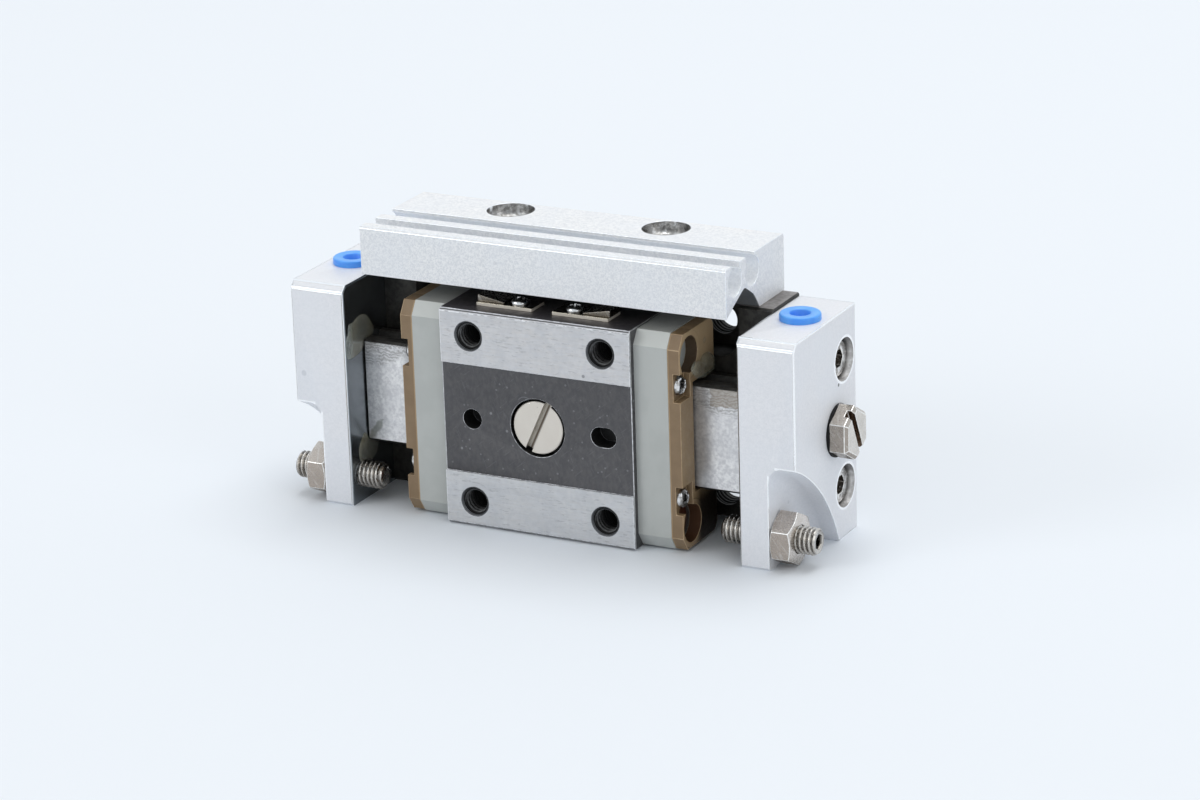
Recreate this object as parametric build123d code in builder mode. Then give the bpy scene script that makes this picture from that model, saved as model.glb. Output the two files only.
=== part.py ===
from build123d import *
import math
import os

# Compact pneumatic slide table with a recirculating ball guide.
# The cylinder is bored inside the guide rail. Its long piston is joined to the
# guide block by a drive pin that passes through a slot in the rail.
# X runs along the stroke, -Y is the side that the work is bolted to, +Y is the
# side that the rail is mounted on, and Z is up. Sizes are in millimetres.

# Overall layout
stroke = 15.0
rail_length = 62.5
block_thickness = 8.75
block_depth = 20.8
block_top_drop = 0.5
mounting_depth = 21.1
table_proud = 0.5
table_top_drop = 1.4
table_bottom_gap = 0.1

# Rail base and raised rail
base_height = 34.1
base_setback = 12.1
rail_setback = 5.2
rail_height = 15.6
rail_corner = 0.4
neck_relief = 0.5
neck_width = 1.1
rail_end_relief = 0.2
rail_end_relief_depth = 2.0
base_edge = 0.4
mount_pitch_x = 42.0
mount_low_edge = 3.9
mount_high_edge = 4.2
mount_hole_radius = 2.2
mount_seat_half = 5.0
mount_seat_inner = 3.6
mount_seat_corner = 3.0
mount_floor_thickness = 3.6

# Cylinder, piston and drive pin
bore_radius = 5.0
bore_setback = 14.0
piston_clearance = 0.05
piston_half_length = 22.5
piston_waist_radius = 4.2
piston_head_length = 7.5
seal_inset = 3.0
seal_width = 1.6
seal_depth = 1.1
pin_radius = 2.5
pin_tip_setback = 17.2
pin_slot_clearance = 0.2
pin_end_clearance = 0.4
pin_head_radius = 4.0
pin_head_clearance = 0.35
pin_head_height = 2.4
pin_thread_radius = 3.0
pin_recess = 0.1
pin_driver_width = 1.1
pin_driver_depth = 1.0
pin_driver_angle = -25.0
pin_head_edge = 0.2

# Guide block, its ball circuits and its end parts
table_length = 30.2
leg_setback = 11.7
rail_gap = 0.4
table_edge = 0.4
land_recess = 0.3
ball_radius = 1.25
ball_pitch = 2.6
ball_setback = 8.6
groove_clearance = 0.1
return_spacing = 5.2
cap_length = 5.2
cap_setback = 0.75
cap_inset = 0.25
cap_chamfer_depth = 1.3
cap_chamfer_height = 2.0
end_plate_thickness = 1.9
end_plate_inset = 0.1
end_plate_corner = 1.6
wiper_thickness = 0.8
wiper_width = 0.7
wiper_gap = 0.3

# Stop openings and screw pockets in the end plates
stop_setback = 3.8
stop_height = 3.9
stop_opening_radius = 2.75
stop_neck_setback = 2.5
stop_neck_radius = 0.8
stop_pad_radius = 2.6
stop_pad_thickness = 1.8
stop_pad_sink = 0.4
plate_screw_setback = 2.4
plate_screw_offset = 8.35
plate_pocket_height = 4.1
plate_pocket_setback = 4.0
plate_pocket_floor = 0.85
plate_screw_radius = 0.8
plate_screw_length = 4.5
plate_screw_head_radius = 1.45
plate_screw_head_height = 0.95
cross_slot_length = 1.5
cross_slot_width = 0.36
cross_slot_depth = 0.55
head_dome = 0.6

# Table fixing holes
table_screw_pitch_x = 21.0
table_screw_edge = 3.8
table_screw_radius = 2.0
table_screw_depth = 6.8
table_screw_mouth = 0.25
dowel_radius = 1.5
dowel_depth = 3.0
dowel_slot_length = 4.0

# Magnet plates on the guide block's top face
magnet_plate_inner_x = 1.6
magnet_plate_outer_x = 10.5
magnet_plate_setback = 2.3
magnet_plate_depth = 4.2
magnet_plate_thickness = 0.5
magnet_screw_x = 4.4
magnet_screw_setback = 4.1
magnet_screw_radius = 1.0
magnet_screw_length = 3.0
magnet_screw_head_radius = 1.3
magnet_screw_head_height = 0.9
magnet_length = 4.2
magnet_depth = 3.7
magnet_height = 1.0
magnet_low_height = 0.2

# End blocks: outer pocket, ports, seals and screws
block_top_chamfer = 1.0
block_edge = 0.35
pocket_floor_depth = 4.2
pocket_top = 15.3
pocket_back = 14.4
pocket_radius = 28.7
pocket_fillet = 2.0
block_screw_setback = 16.8
block_screw_low = 7.6
block_screw_high = 26.45
m3_radius = 1.5
m3_head_radius = 2.75
m3_head_height = 3.0
m3_head_edge = 0.25
m3_socket_flats = 2.5
m3_socket_depth = 1.5
screw_clearance = 0.1
thread_clearance = 0.05
tap_allowance = 1.0
cut_over = 1.0
block_screw_seat_radius = 3.15
block_screw_seat_depth = 3.85
block_screw_length = 8.0
seal_ring_inner = 5.3
seal_ring_width = 1.1
seal_ring_depth = 0.9
port_radius = 2.5
top_port_x_inset = 4.1
top_port_setback = 11.2
top_port_depth = 5.5
end_port_setback = 14.1
end_port_depth = 5.4
passage_radius = 1.1

# Hexagonal port plugs and dust plugs
plug_flats = 7.0
plug_head_height = 2.75
plug_edge = 0.5
plug_stem_length = 4.5
plug_slot_width = 1.2
plug_slot_depth = 1.1
plug_slot_angle = 25.0
gasket_radius = 3.85
gasket_thickness = 0.35
gasket_edge = 0.2
dust_flange_radius = 2.95
dust_flange_thickness = 1.0
dust_stem_radius = 2.35
dust_stem_length = 4.0
dust_cup_radius = 1.45
dust_cup_depth = 3.4
dust_edge = 0.3

# Stroke adjusters and their lock nuts
adjuster_setback = 3.4
adjuster_z = 4.1
adjuster_radius = 2.0
adjuster_stand_out = 1.85
adjuster_tip_chamfer = 0.6
adjuster_end_chamfer = 0.3
adjuster_socket_flats = 2.0
adjuster_socket_depth = 2.5
stop_clearance = 0.05
nut_flats = 7.0
nut_thickness = 3.2
nut_edge = 0.35
nut_edge_depth = 0.7
nut_angle = 28.0

# Switch rail
switch_rail_length = 58.0
switch_rail_height = 8.4
switch_rail_setback = 1.96
switch_rail_back_inset = 0.1
switch_seat_setback = 12.7
front_slot_near = 3.87
front_slot_far = 6.56
back_slot_near = 8.51
back_slot_far = 11.4
groove_radius = 2.19
front_groove_setback = 4.89
back_groove_setback = 10.48
groove_drop = 2.45
switch_tip_drop = 7.2
switch_web = 1.3
switch_edge = 0.3
under_back_shift = 0.3
under_front_shift = 0.6
peak_shift = 0.3
peak_rise = 0.45
peak_fillet = 1.1
switch_screw_pitch = 25.0
switch_screw_setback = 17.1
switch_screw_seat_radius = 3.5
switch_screw_seat_depth = 5.0
switch_screw_length = 8.0

# Places worked out from the sizes above
block_front_y = (table_proud - mounting_depth) / 2
mounting_y = block_front_y + mounting_depth
table_front_y = block_front_y - table_proud
base_front_y = block_front_y + base_setback
rail_front_y = block_front_y + rail_setback
bore_y = block_front_y + bore_setback
rail_half = rail_length / 2
mount_pitch_z = base_height - mount_low_edge - mount_high_edge
mount_centre_z = mount_low_edge + mount_pitch_z / 2
mount_seat_reach = mount_seat_inner + mount_high_edge + mount_seat_corner + cut_over
block_height = base_height - block_top_drop
block_outer_x = rail_half + block_thickness
table_half = table_length / 2
table_top_z = base_height - table_top_drop
table_bottom_z = table_bottom_gap
axis_z = (table_top_z + table_bottom_z) / 2
table_screw_pitch_z = table_top_z - table_bottom_z - 2 * table_screw_edge
leg_back_y = block_front_y + leg_setback
channel_half = rail_height / 2 + rail_gap
web_back_y = rail_front_y - rail_gap
ball_y = block_front_y + ball_setback
load_offset = rail_height / 2 + rail_gap / 2
return_offset = load_offset + return_spacing
groove_cut_radius = ball_radius + groove_clearance
cap_outer_x = table_half + cap_length
plate_outer_x = cap_outer_x + end_plate_thickness
stop_offset = axis_z - stop_height
stop_face_x = cap_outer_x - stop_pad_sink
adjuster_tip_x = stop_face_x + stroke / 2 + stop_clearance
pocket_floor_x = block_outer_x - pocket_floor_depth
adjuster_y = block_front_y + adjuster_setback
end_port_z = block_height / 2
end_port_y = block_front_y + end_port_setback
top_port_x = block_outer_x - top_port_x_inset
top_port_y = block_front_y + top_port_setback
block_tap_depth = block_screw_length - (block_thickness - block_screw_seat_depth) + tap_allowance
switch_rail_top = base_height + switch_rail_height
switch_seat_z = switch_rail_top - switch_screw_seat_depth
switch_tap_depth = switch_screw_length - (switch_seat_z - base_height) + tap_allowance

# Rectangles that start at their point and run back from it
from_front = (Align.MIN, Align.CENTER)


def facing(x, y, z, normal):
    """Plane at a point, facing along X, with +Z up on it."""
    return Plane(origin=(x, y, z), x_dir=(0, normal, 0), z_dir=(normal, 0, 0))


def front_plane(y):
    """Plane facing -Y at the given y, with X to the right and Z up on it."""
    return Plane.XZ.offset(-y)


def cap_screw(seat, length):
    """M3 socket head cap screw whose head stands on the seat plane."""
    with BuildPart() as screw:
        with BuildSketch(seat):
            Circle(m3_head_radius)
        extrude(amount=m3_head_height)
        rims = screw.edges().filter_by(GeomType.CIRCLE)
        chamfer(rims.sort_by(Axis(seat.origin, seat.z_dir))[-1], m3_head_edge)
        with BuildSketch(seat):
            Circle(m3_radius)
        extrude(amount=-length)
        with BuildSketch(seat.offset(m3_head_height)):
            RegularPolygon(m3_socket_flats / 2, 6, major_radius=False)
        extrude(amount=-m3_socket_depth, mode=Mode.SUBTRACT)
    return screw.part


def pan_screw(seat, radius, length, head_radius, head_height):
    """Small screw with a domed, cross-slotted head that stands on the seat plane."""
    with BuildPart() as screw:
        with BuildSketch(seat):
            Circle(head_radius)
        extrude(amount=head_height)
        rims = screw.edges().filter_by(GeomType.CIRCLE)
        fillet(rims.sort_by(Axis(seat.origin, seat.z_dir))[-1], head_dome)
        with BuildSketch(seat):
            Circle(radius)
        extrude(amount=-length)
        with BuildSketch(seat.offset(head_height)):
            Rectangle(cross_slot_length, cross_slot_width)
            Rectangle(cross_slot_width, cross_slot_length)
        extrude(amount=-cross_slot_depth, mode=Mode.SUBTRACT)
    return screw.part


# Guide rail: steel base and raised rail in one piece, with the cylinder bore,
# the ball raceways, the drive pin slot and all of its screw holes
with BuildPart() as guide_rail:
    with BuildSketch(Plane.YZ.offset(-rail_half)) as rail_section:
        with Locations(((base_front_y + mounting_y) / 2, base_height / 2)):
            Rectangle(mounting_y - base_front_y, base_height)
        chamfer(rail_section.vertices(), base_edge)
        with Locations(((rail_front_y + bore_y) / 2, axis_z)):
            Rectangle(bore_y - rail_front_y, rail_height)
        chamfer(rail_section.vertices().group_by(Axis.X)[0], rail_corner)
        for side in (-1, 1):
            with Locations((ball_y, axis_z + side * load_offset)):
                Circle(groove_cut_radius, mode=Mode.SUBTRACT)
            with Locations((base_front_y - neck_width / 2, axis_z + side * rail_height / 2)):
                Rectangle(neck_width, 2 * neck_relief, mode=Mode.SUBTRACT)
        with Locations((bore_y, axis_z)):
            Circle(bore_radius, mode=Mode.SUBTRACT)
    extrude(amount=rail_length)
    # Relief at each end, so that the end blocks seat on the rest of the end face
    for side in (-1, 1):
        with BuildSketch(facing(side * rail_half, rail_front_y, axis_z, side)):
            Rectangle(2 * rail_end_relief_depth, rail_height + cut_over)
        extrude(amount=-rail_end_relief, mode=Mode.SUBTRACT)
    # Slot that the drive pin travels in
    with BuildSketch(front_plane(rail_front_y)):
        with Locations((0, axis_z)):
            SlotOverall(
                stroke + 2 * (pin_radius + pin_end_clearance),
                2 * (pin_radius + pin_slot_clearance),
            )
    extrude(amount=rail_front_y - bore_y, mode=Mode.SUBTRACT)
    # Mounting holes, each with a milled seat that is open to the base's nearer long edge
    with BuildSketch(front_plane(base_front_y)):
        for side in (-1, 1):
            for seat_z, outwards in (
                (mount_low_edge + mount_seat_inner, Align.MAX),
                (base_height - mount_high_edge - mount_seat_inner, Align.MIN),
            ):
                with Locations((side * mount_pitch_x / 2, seat_z)):
                    RectangleRounded(
                        2 * mount_seat_half,
                        mount_seat_reach,
                        mount_seat_corner,
                        align=(Align.CENTER, outwards),
                    )
    extrude(amount=base_front_y - mounting_y + mount_floor_thickness, mode=Mode.SUBTRACT)
    with Locations(Plane((0, base_front_y, mount_centre_z), x_dir=(1, 0, 0), z_dir=(0, -1, 0))):
        with GridLocations(mount_pitch_x, mount_pitch_z, 2, 2):
            Hole(mount_hole_radius)
    # Tapped holes for the end blocks' screws and the switch rail's screws
    for side in (-1, 1):
        for height in (block_screw_low, block_screw_high):
            with Locations(facing(side * rail_half, block_front_y + block_screw_setback, height, side)):
                Hole(m3_radius + thread_clearance, depth=block_tap_depth)
    with Locations(Plane.XY.offset(base_height)):
        with Locations(
            (-switch_screw_pitch / 2, block_front_y + switch_screw_setback),
            (switch_screw_pitch / 2, block_front_y + switch_screw_setback),
        ):
            Hole(m3_radius + thread_clearance, depth=switch_tap_depth)

# End block, right: a machined block with an outer pocket for the lock nut
pocket_chord = math.hypot(pocket_top, pocket_back)
pocket_reach = math.sqrt(pocket_radius**2 - (pocket_chord / 2) ** 2)
pocket_axis_y = block_front_y + pocket_back / 2 - pocket_reach * pocket_top / pocket_chord
pocket_axis_z = pocket_top / 2 - pocket_reach * pocket_back / pocket_chord
with BuildPart() as end_block_right:
    with BuildSketch(Plane.YZ.offset(rail_half)) as block_section:
        with Locations((block_front_y + block_depth / 2, block_height / 2)):
            Rectangle(block_depth, block_height)
        chamfer(block_section.vertices().group_by(Axis.X)[0].sort_by(Axis.Y)[-1], block_top_chamfer)
        chamfer(block_section.vertices().group_by(Axis.Y)[0], block_edge)
    extrude(amount=block_thickness)
    fillet(end_block_right.edges().filter_by(Axis.Z), block_edge)
    # Pocket wall: a large milled arc with a filleted floor
    with BuildSketch(Plane.XY.offset(pocket_axis_z)) as pocket_section:
        with Locations((pocket_floor_x, pocket_axis_y)):
            Rectangle(pocket_floor_depth * 2, pocket_radius, align=(Align.MIN, Align.MIN))
        fillet(pocket_section.vertices().group_by(Axis.Y)[-1].sort_by(Axis.X)[0], pocket_fillet)
    revolve(axis=Axis((0, pocket_axis_y, pocket_axis_z), (1, 0, 0)), mode=Mode.SUBTRACT)
    # Screw seats, adjuster hole and end port, drilled from the outer face
    with Locations(facing(block_outer_x, 0, 0, 1)):
        with Locations(
            (block_front_y + block_screw_setback, block_screw_low),
            (block_front_y + block_screw_setback, block_screw_high),
        ):
            CounterBoreHole(
                m3_radius + screw_clearance,
                block_screw_seat_radius,
                block_screw_seat_depth,
                depth=block_thickness,
            )
        with Locations((adjuster_y, adjuster_z)):
            Hole(adjuster_radius + thread_clearance, depth=block_thickness)
        with Locations((end_port_y, end_port_z)):
            Hole(port_radius, depth=end_port_depth)
            Hole(passage_radius, depth=block_thickness)
    # Top port and the passage down to the end port
    with Locations(Plane.XY.offset(block_height)):
        with Locations((top_port_x, top_port_y)):
            Hole(port_radius, depth=top_port_depth)
            Hole(passage_radius, depth=block_height - end_port_z)
    # Groove for the seal ring around the cylinder
    with BuildSketch(Plane.YZ.offset(rail_half)):
        with Locations((bore_y, axis_z)):
            Circle(seal_ring_inner + seal_ring_width)
            Circle(seal_ring_inner, mode=Mode.SUBTRACT)
    extrude(amount=seal_ring_depth, mode=Mode.SUBTRACT)

with BuildPart() as end_block_left:
    mirror(end_block_right.part, about=Plane.YZ)

# Seal rings between the end blocks and the rail
with BuildPart() as bore_seal_rings:
    with BuildSketch(Plane.YZ.offset(rail_half)):
        with Locations((bore_y, axis_z)):
            Circle(seal_ring_inner + seal_ring_width - thread_clearance)
            Circle(seal_ring_inner + thread_clearance, mode=Mode.SUBTRACT)
    extrude(amount=seal_ring_depth)
    mirror(about=Plane.YZ)

# Screws that hold the end blocks on the rail
block_screws = [
    cap_screw(
        facing(
            side * (block_outer_x - block_screw_seat_depth),
            block_front_y + block_screw_setback,
            height,
            side,
        ),
        block_screw_length,
    )
    for side in (-1, 1)
    for height in (block_screw_low, block_screw_high)
]
with BuildPart() as end_block_screws:
    add(block_screws)

# Hexagonal plug in the end port, with a driver slot, and its gasket
with BuildPart() as port_gaskets:
    with BuildSketch(Plane.YZ.offset(block_outer_x)):
        with Locations((end_port_y, end_port_z)):
            Circle(gasket_radius)
            Circle(port_radius, mode=Mode.SUBTRACT)
    extrude(amount=gasket_thickness)
    fillet(port_gaskets.edges().group_by(Axis.X)[-1].sort_by(SortBy.RADIUS)[-1], gasket_edge)
    mirror(about=Plane.YZ)

plug_seat = Plane.YZ.offset(block_outer_x + gasket_thickness)
with BuildPart() as port_plug_right:
    with BuildSketch(plug_seat):
        with Locations((end_port_y, end_port_z)):
            RegularPolygon(plug_flats / 2, 6, major_radius=False, rotation=30)
    extrude(amount=plug_head_height)
    chamfer(port_plug_right.edges().group_by(Axis.X)[-1], plug_edge)
    with BuildSketch(plug_seat):
        with Locations((end_port_y, end_port_z)):
            Circle(port_radius - thread_clearance)
    extrude(amount=-plug_stem_length)
    with BuildSketch(plug_seat.offset(plug_head_height)):
        with Locations((end_port_y, end_port_z)):
            Rectangle(plug_slot_width, 2 * plug_flats, rotation=plug_slot_angle)
    extrude(amount=-plug_slot_depth, mode=Mode.SUBTRACT)

with BuildPart() as port_plug_left:
    mirror(port_plug_right.part, about=Plane.YZ)

# Dust plug in the top port: a flanged cup turned about the port's axis
with BuildPart() as dust_plug_right:
    with BuildSketch(front_plane(top_port_y)) as dust_section:
        with Locations((top_port_x, block_height)):
            Rectangle(dust_flange_radius, dust_flange_thickness, align=(Align.MIN, Align.MIN))
            Rectangle(dust_stem_radius, dust_stem_length, align=(Align.MIN, Align.MAX))
        with Locations((top_port_x, block_height + dust_flange_thickness)):
            Rectangle(dust_cup_radius, dust_cup_depth, align=(Align.MIN, Align.MAX), mode=Mode.SUBTRACT)
        fillet(dust_section.vertices().group_by(Axis.Y)[-1], dust_edge)
    revolve(axis=Axis((top_port_x, top_port_y, 0), (0, 0, 1)))

with BuildPart() as dust_plug_left:
    mirror(dust_plug_right.part, about=Plane.YZ)

# Stroke adjuster: a long set screw through the end block, socket outwards
adjuster_end_x = block_outer_x + adjuster_stand_out
with BuildPart() as adjuster_right:
    with BuildSketch(facing(adjuster_tip_x, adjuster_y, adjuster_z, 1)):
        Circle(adjuster_radius)
    extrude(amount=adjuster_end_x - adjuster_tip_x)
    chamfer(adjuster_right.edges().group_by(Axis.X)[0], adjuster_tip_chamfer)
    chamfer(adjuster_right.edges().group_by(Axis.X)[-1], adjuster_end_chamfer)
    with BuildSketch(facing(adjuster_end_x, adjuster_y, adjuster_z, 1)):
        RegularPolygon(adjuster_socket_flats / 2, 6, major_radius=False)
    extrude(amount=-adjuster_socket_depth, mode=Mode.SUBTRACT)

with BuildPart() as adjuster_left:
    mirror(adjuster_right.part, about=Plane.YZ)

# Lock nut on the adjuster, seated on the pocket's floor
with BuildPart() as lock_nut_right:
    with BuildSketch(facing(pocket_floor_x, adjuster_y, adjuster_z, 1)):
        RegularPolygon(nut_flats / 2, 6, major_radius=False, rotation=-nut_angle)
        Circle(adjuster_radius + thread_clearance, mode=Mode.SUBTRACT)
    extrude(amount=nut_thickness)
    # Both faces are turned to a cone that takes the corners off
    nut_reach = nut_flats / math.sqrt(3)
    with BuildSketch(Plane.XY.offset(adjuster_z)) as nut_cone_section:
        for face_x, side in ((pocket_floor_x, 1), (pocket_floor_x + nut_thickness, -1)):
            with BuildLine():
                Polyline(
                    (face_x, adjuster_y + nut_reach - nut_edge_depth),
                    (face_x + side * nut_edge, adjuster_y + nut_reach),
                    (face_x + side * nut_edge, adjuster_y + nut_reach + cut_over),
                    (face_x - side * nut_edge, adjuster_y + nut_reach + cut_over),
                    (face_x - side * nut_edge, adjuster_y + nut_reach - nut_edge_depth),
                    close=True,
                )
            make_face()
    revolve(axis=Axis((0, adjuster_y, adjuster_z), (1, 0, 0)), mode=Mode.SUBTRACT)

with BuildPart() as lock_nut_left:
    mirror(lock_nut_right.part, about=Plane.YZ)

# Switch rail: an extrusion with two round sensor grooves open at the top
switch_front_y = block_front_y + switch_rail_setback
switch_back_y = mounting_y - switch_rail_back_inset
switch_seat_y = block_front_y + switch_seat_setback
front_groove_y = block_front_y + front_groove_setback
back_groove_y = block_front_y + back_groove_setback
groove_z = switch_rail_top - groove_drop
under_z = groove_z - groove_radius - switch_web
switch_tip_z = switch_rail_top - switch_tip_drop
peak_y = (front_groove_y + back_groove_y) / 2 + peak_shift
peak_z = groove_z - groove_radius + peak_rise
with BuildPart() as switch_rail:
    with BuildSketch(Plane.YZ.offset(-switch_rail_length / 2)) as switch_section:
        with BuildLine():
            Polyline(
                (switch_front_y, switch_tip_z),
                (switch_front_y, switch_rail_top),
                (switch_back_y, switch_rail_top),
                (switch_back_y, base_height),
                (switch_seat_y, base_height),
                (back_groove_y + under_back_shift, under_z),
                (peak_y, peak_z),
                (front_groove_y - under_front_shift, under_z),
                close=True,
            )
        make_face()
        fillet(switch_section.vertices().sort_by_distance((peak_y, peak_z))[0], peak_fillet)
        chamfer(switch_section.vertices().group_by(Axis.Y)[-1], switch_edge)
        with Locations((front_groove_y, groove_z), (back_groove_y, groove_z)):
            Circle(groove_radius, mode=Mode.SUBTRACT)
        for near, far in ((front_slot_near, front_slot_far), (back_slot_near, back_slot_far)):
            with Locations((block_front_y + near, groove_z)):
                Rectangle(
                    far - near,
                    groove_drop + cut_over,
                    align=(Align.MIN, Align.MIN),
                    mode=Mode.SUBTRACT,
                )
    extrude(amount=switch_rail_length)
    with Locations(Plane.XY.offset(switch_rail_top)):
        with Locations(
            (-switch_screw_pitch / 2, block_front_y + switch_screw_setback),
            (switch_screw_pitch / 2, block_front_y + switch_screw_setback),
        ):
            CounterBoreHole(
                m3_radius + screw_clearance,
                switch_screw_seat_radius,
                switch_screw_seat_depth,
                depth=switch_rail_top - base_height,
            )

switch_screws = [
    cap_screw(
        Plane((side * switch_screw_pitch / 2, block_front_y + switch_screw_setback, switch_seat_z)),
        switch_screw_length,
    )
    for side in (-1, 1)
]
with BuildPart() as switch_rail_screws:
    add(switch_screws)

# Guide block: a steel channel that rides over the raised rail on two ball rows
with BuildPart() as guide_block:
    with BuildSketch(Plane.YZ.offset(-table_half)) as block_profile:
        with Locations((table_front_y, (table_top_z + table_bottom_z) / 2)):
            Rectangle(leg_back_y - table_front_y, table_top_z - table_bottom_z, align=from_front)
        chamfer(block_profile.vertices(), table_edge)
        with Locations((web_back_y, axis_z)):
            Rectangle(leg_back_y - web_back_y, 2 * channel_half, align=from_front, mode=Mode.SUBTRACT)
        # The centre of the front face lies a little behind the two ground lands
        with Locations((table_front_y, axis_z)):
            Rectangle(land_recess, 2 * channel_half, align=from_front, mode=Mode.SUBTRACT)
        for side in (-1, 1):
            with Locations((ball_y, axis_z + side * load_offset), (ball_y, axis_z + side * return_offset)):
                Circle(groove_cut_radius, mode=Mode.SUBTRACT)
    extrude(amount=table_length)
    # Tapped fixing holes in the lands, with countersunk mouths
    with Locations(Plane((0, table_front_y, axis_z), x_dir=(1, 0, 0), z_dir=(0, -1, 0))):
        with GridLocations(table_screw_pitch_x, table_screw_pitch_z, 2, 2):
            CounterSinkHole(
                table_screw_radius,
                table_screw_radius + table_screw_mouth,
                depth=table_screw_depth,
                counter_sink_angle=90,
            )
    # Dowel hole and dowel slot
    recess_plane = Plane((0, table_front_y + land_recess, axis_z), x_dir=(1, 0, 0), z_dir=(0, -1, 0))
    with Locations(recess_plane):
        with Locations((-table_screw_pitch_x / 2, 0)):
            Hole(dowel_radius, depth=dowel_depth)
    with BuildSketch(recess_plane):
        with Locations((table_screw_pitch_x / 2, 0)):
            SlotOverall(dowel_slot_length, 2 * dowel_radius)
    extrude(amount=-dowel_depth, mode=Mode.SUBTRACT)
    # Stepped hole for the drive pin
    with Locations(recess_plane):
        CounterBoreHole(
            pin_thread_radius + thread_clearance,
            pin_head_radius + pin_head_clearance,
            pin_head_height + pin_recess,
            depth=web_back_y - table_front_y,
        )
    # Holes for the end plates' screws and the magnet plates' screws
    for side in (-1, 1):
        for offset_z in (-plate_screw_offset, plate_screw_offset):
            plate_screw_y = block_front_y + plate_screw_setback
            with Locations(facing(side * table_half, plate_screw_y, axis_z + offset_z, side)):
                Hole(plate_screw_radius + thread_clearance, depth=plate_screw_length)
        with Locations(Plane.XY.offset(table_top_z)):
            with Locations((side * magnet_screw_x, block_front_y + magnet_screw_setback)):
                Hole(magnet_screw_radius + thread_clearance, depth=magnet_screw_length)


def channel_section(front_y, inset, chamfer_depth, chamfer_height):
    """Outline of an end part of the guide block, cut out around the raised rail."""
    top_z = table_top_z - inset
    bottom_z = table_bottom_z + inset
    with BuildSketch() as section:
        with BuildLine():
            Polyline(
                (front_y, bottom_z + chamfer_height),
                (front_y, top_z - chamfer_height),
                (front_y + chamfer_depth, top_z),
                (leg_back_y, top_z),
                (leg_back_y, bottom_z),
                (front_y + chamfer_depth, bottom_z),
                close=True,
            )
        make_face()
        with Locations((web_back_y, axis_z)):
            Rectangle(leg_back_y - web_back_y, 2 * channel_half, align=from_front, mode=Mode.SUBTRACT)
    return section.sketch


def stop_opening(side):
    """Pear-shaped opening: a circle around the stop and a neck towards the screw pocket."""
    with BuildSketch() as opening:
        with Locations((block_front_y + stop_setback, axis_z + side * stop_offset)):
            Circle(stop_opening_radius)
        neck_offset = plate_screw_offset + plate_pocket_height / 2
        with Locations((block_front_y + stop_neck_setback, axis_z + side * neck_offset)):
            Circle(stop_neck_radius)
        make_hull()
    return opening.sketch


# Return cap, right: a moulded end part with a half-ring ball turn for each circuit
cap_front_y = block_front_y + cap_setback
pad_depth = stop_pad_sink + stop_pad_thickness
with BuildPart() as return_cap_right:
    with BuildSketch(Plane.YZ.offset(table_half)):
        add(channel_section(cap_front_y, cap_inset, cap_chamfer_depth, cap_chamfer_height))
    extrude(amount=cap_length)
    for side in (-1, 1):
        turn_axis_z = axis_z + side * (load_offset + return_offset) / 2
        with BuildSketch(Plane.YZ.offset(table_half)):
            with Locations((ball_y, axis_z + side * return_offset)):
                Circle(groove_cut_radius)
        revolve(axis=Axis((table_half, 0, turn_axis_z), (0, 1, 0)), mode=Mode.SUBTRACT)
    with Locations(facing(cap_outer_x, 0, 0, 1)):
        with Locations(
            (block_front_y + plate_screw_setback, axis_z - plate_screw_offset),
            (block_front_y + plate_screw_setback, axis_z + plate_screw_offset),
        ):
            Hole(plate_screw_radius + thread_clearance, depth=cap_length)
        with Locations((block_front_y + stop_setback, axis_z - stop_offset)):
            Hole(stop_pad_radius + thread_clearance, depth=pad_depth)

with BuildPart() as return_cap_left:
    mirror(return_cap_right.part, about=Plane.YZ)

# End plate, right: stop openings, screw pockets and a seat for the wiper
wiper_half = rail_height / 2 + wiper_gap
wiper_front_y = rail_front_y - wiper_gap


def wiper_band(width):
    """Channel-shaped band of the given width around the raised rail."""
    with BuildSketch() as band:
        with Locations((wiper_front_y - width, axis_z)):
            Rectangle(leg_back_y - wiper_front_y + width, 2 * (wiper_half + width), align=from_front)
        with Locations((wiper_front_y, axis_z)):
            Rectangle(leg_back_y - wiper_front_y, 2 * wiper_half, align=from_front, mode=Mode.SUBTRACT)
    return band.sketch


plate_inset = cap_inset + end_plate_inset
with BuildPart() as end_plate_right:
    with BuildSketch(Plane.YZ.offset(cap_outer_x)) as plate_section:
        add(channel_section(cap_front_y, plate_inset, cap_chamfer_depth, cap_chamfer_height))
        fillet(plate_section.vertices().group_by(Axis.X)[-1].group_by(Axis.Y)[0], end_plate_corner)
        fillet(plate_section.vertices().group_by(Axis.X)[-1].group_by(Axis.Y)[-1], end_plate_corner)
        for side in (-1, 1):
            add(stop_opening(side), mode=Mode.SUBTRACT)
    extrude(amount=end_plate_thickness)
    with BuildSketch(Plane.YZ.offset(cap_outer_x + plate_pocket_floor)):
        for side in (-1, 1):
            with Locations((cap_front_y, axis_z + side * plate_screw_offset)):
                Rectangle(
                    block_front_y + plate_pocket_setback - cap_front_y,
                    plate_pocket_height,
                    align=from_front,
                )
    extrude(amount=end_plate_thickness - plate_pocket_floor, mode=Mode.SUBTRACT)
    with BuildSketch(Plane.YZ.offset(cap_outer_x)):
        add(wiper_band(wiper_width))
    extrude(amount=wiper_thickness, mode=Mode.SUBTRACT)
    with Locations(facing(plate_outer_x, 0, 0, 1)):
        with Locations(
            (block_front_y + plate_screw_setback, axis_z - plate_screw_offset),
            (block_front_y + plate_screw_setback, axis_z + plate_screw_offset),
        ):
            Hole(plate_screw_radius + thread_clearance, depth=end_plate_thickness)

with BuildPart() as end_plate_left:
    mirror(end_plate_right.part, about=Plane.YZ)

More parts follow.
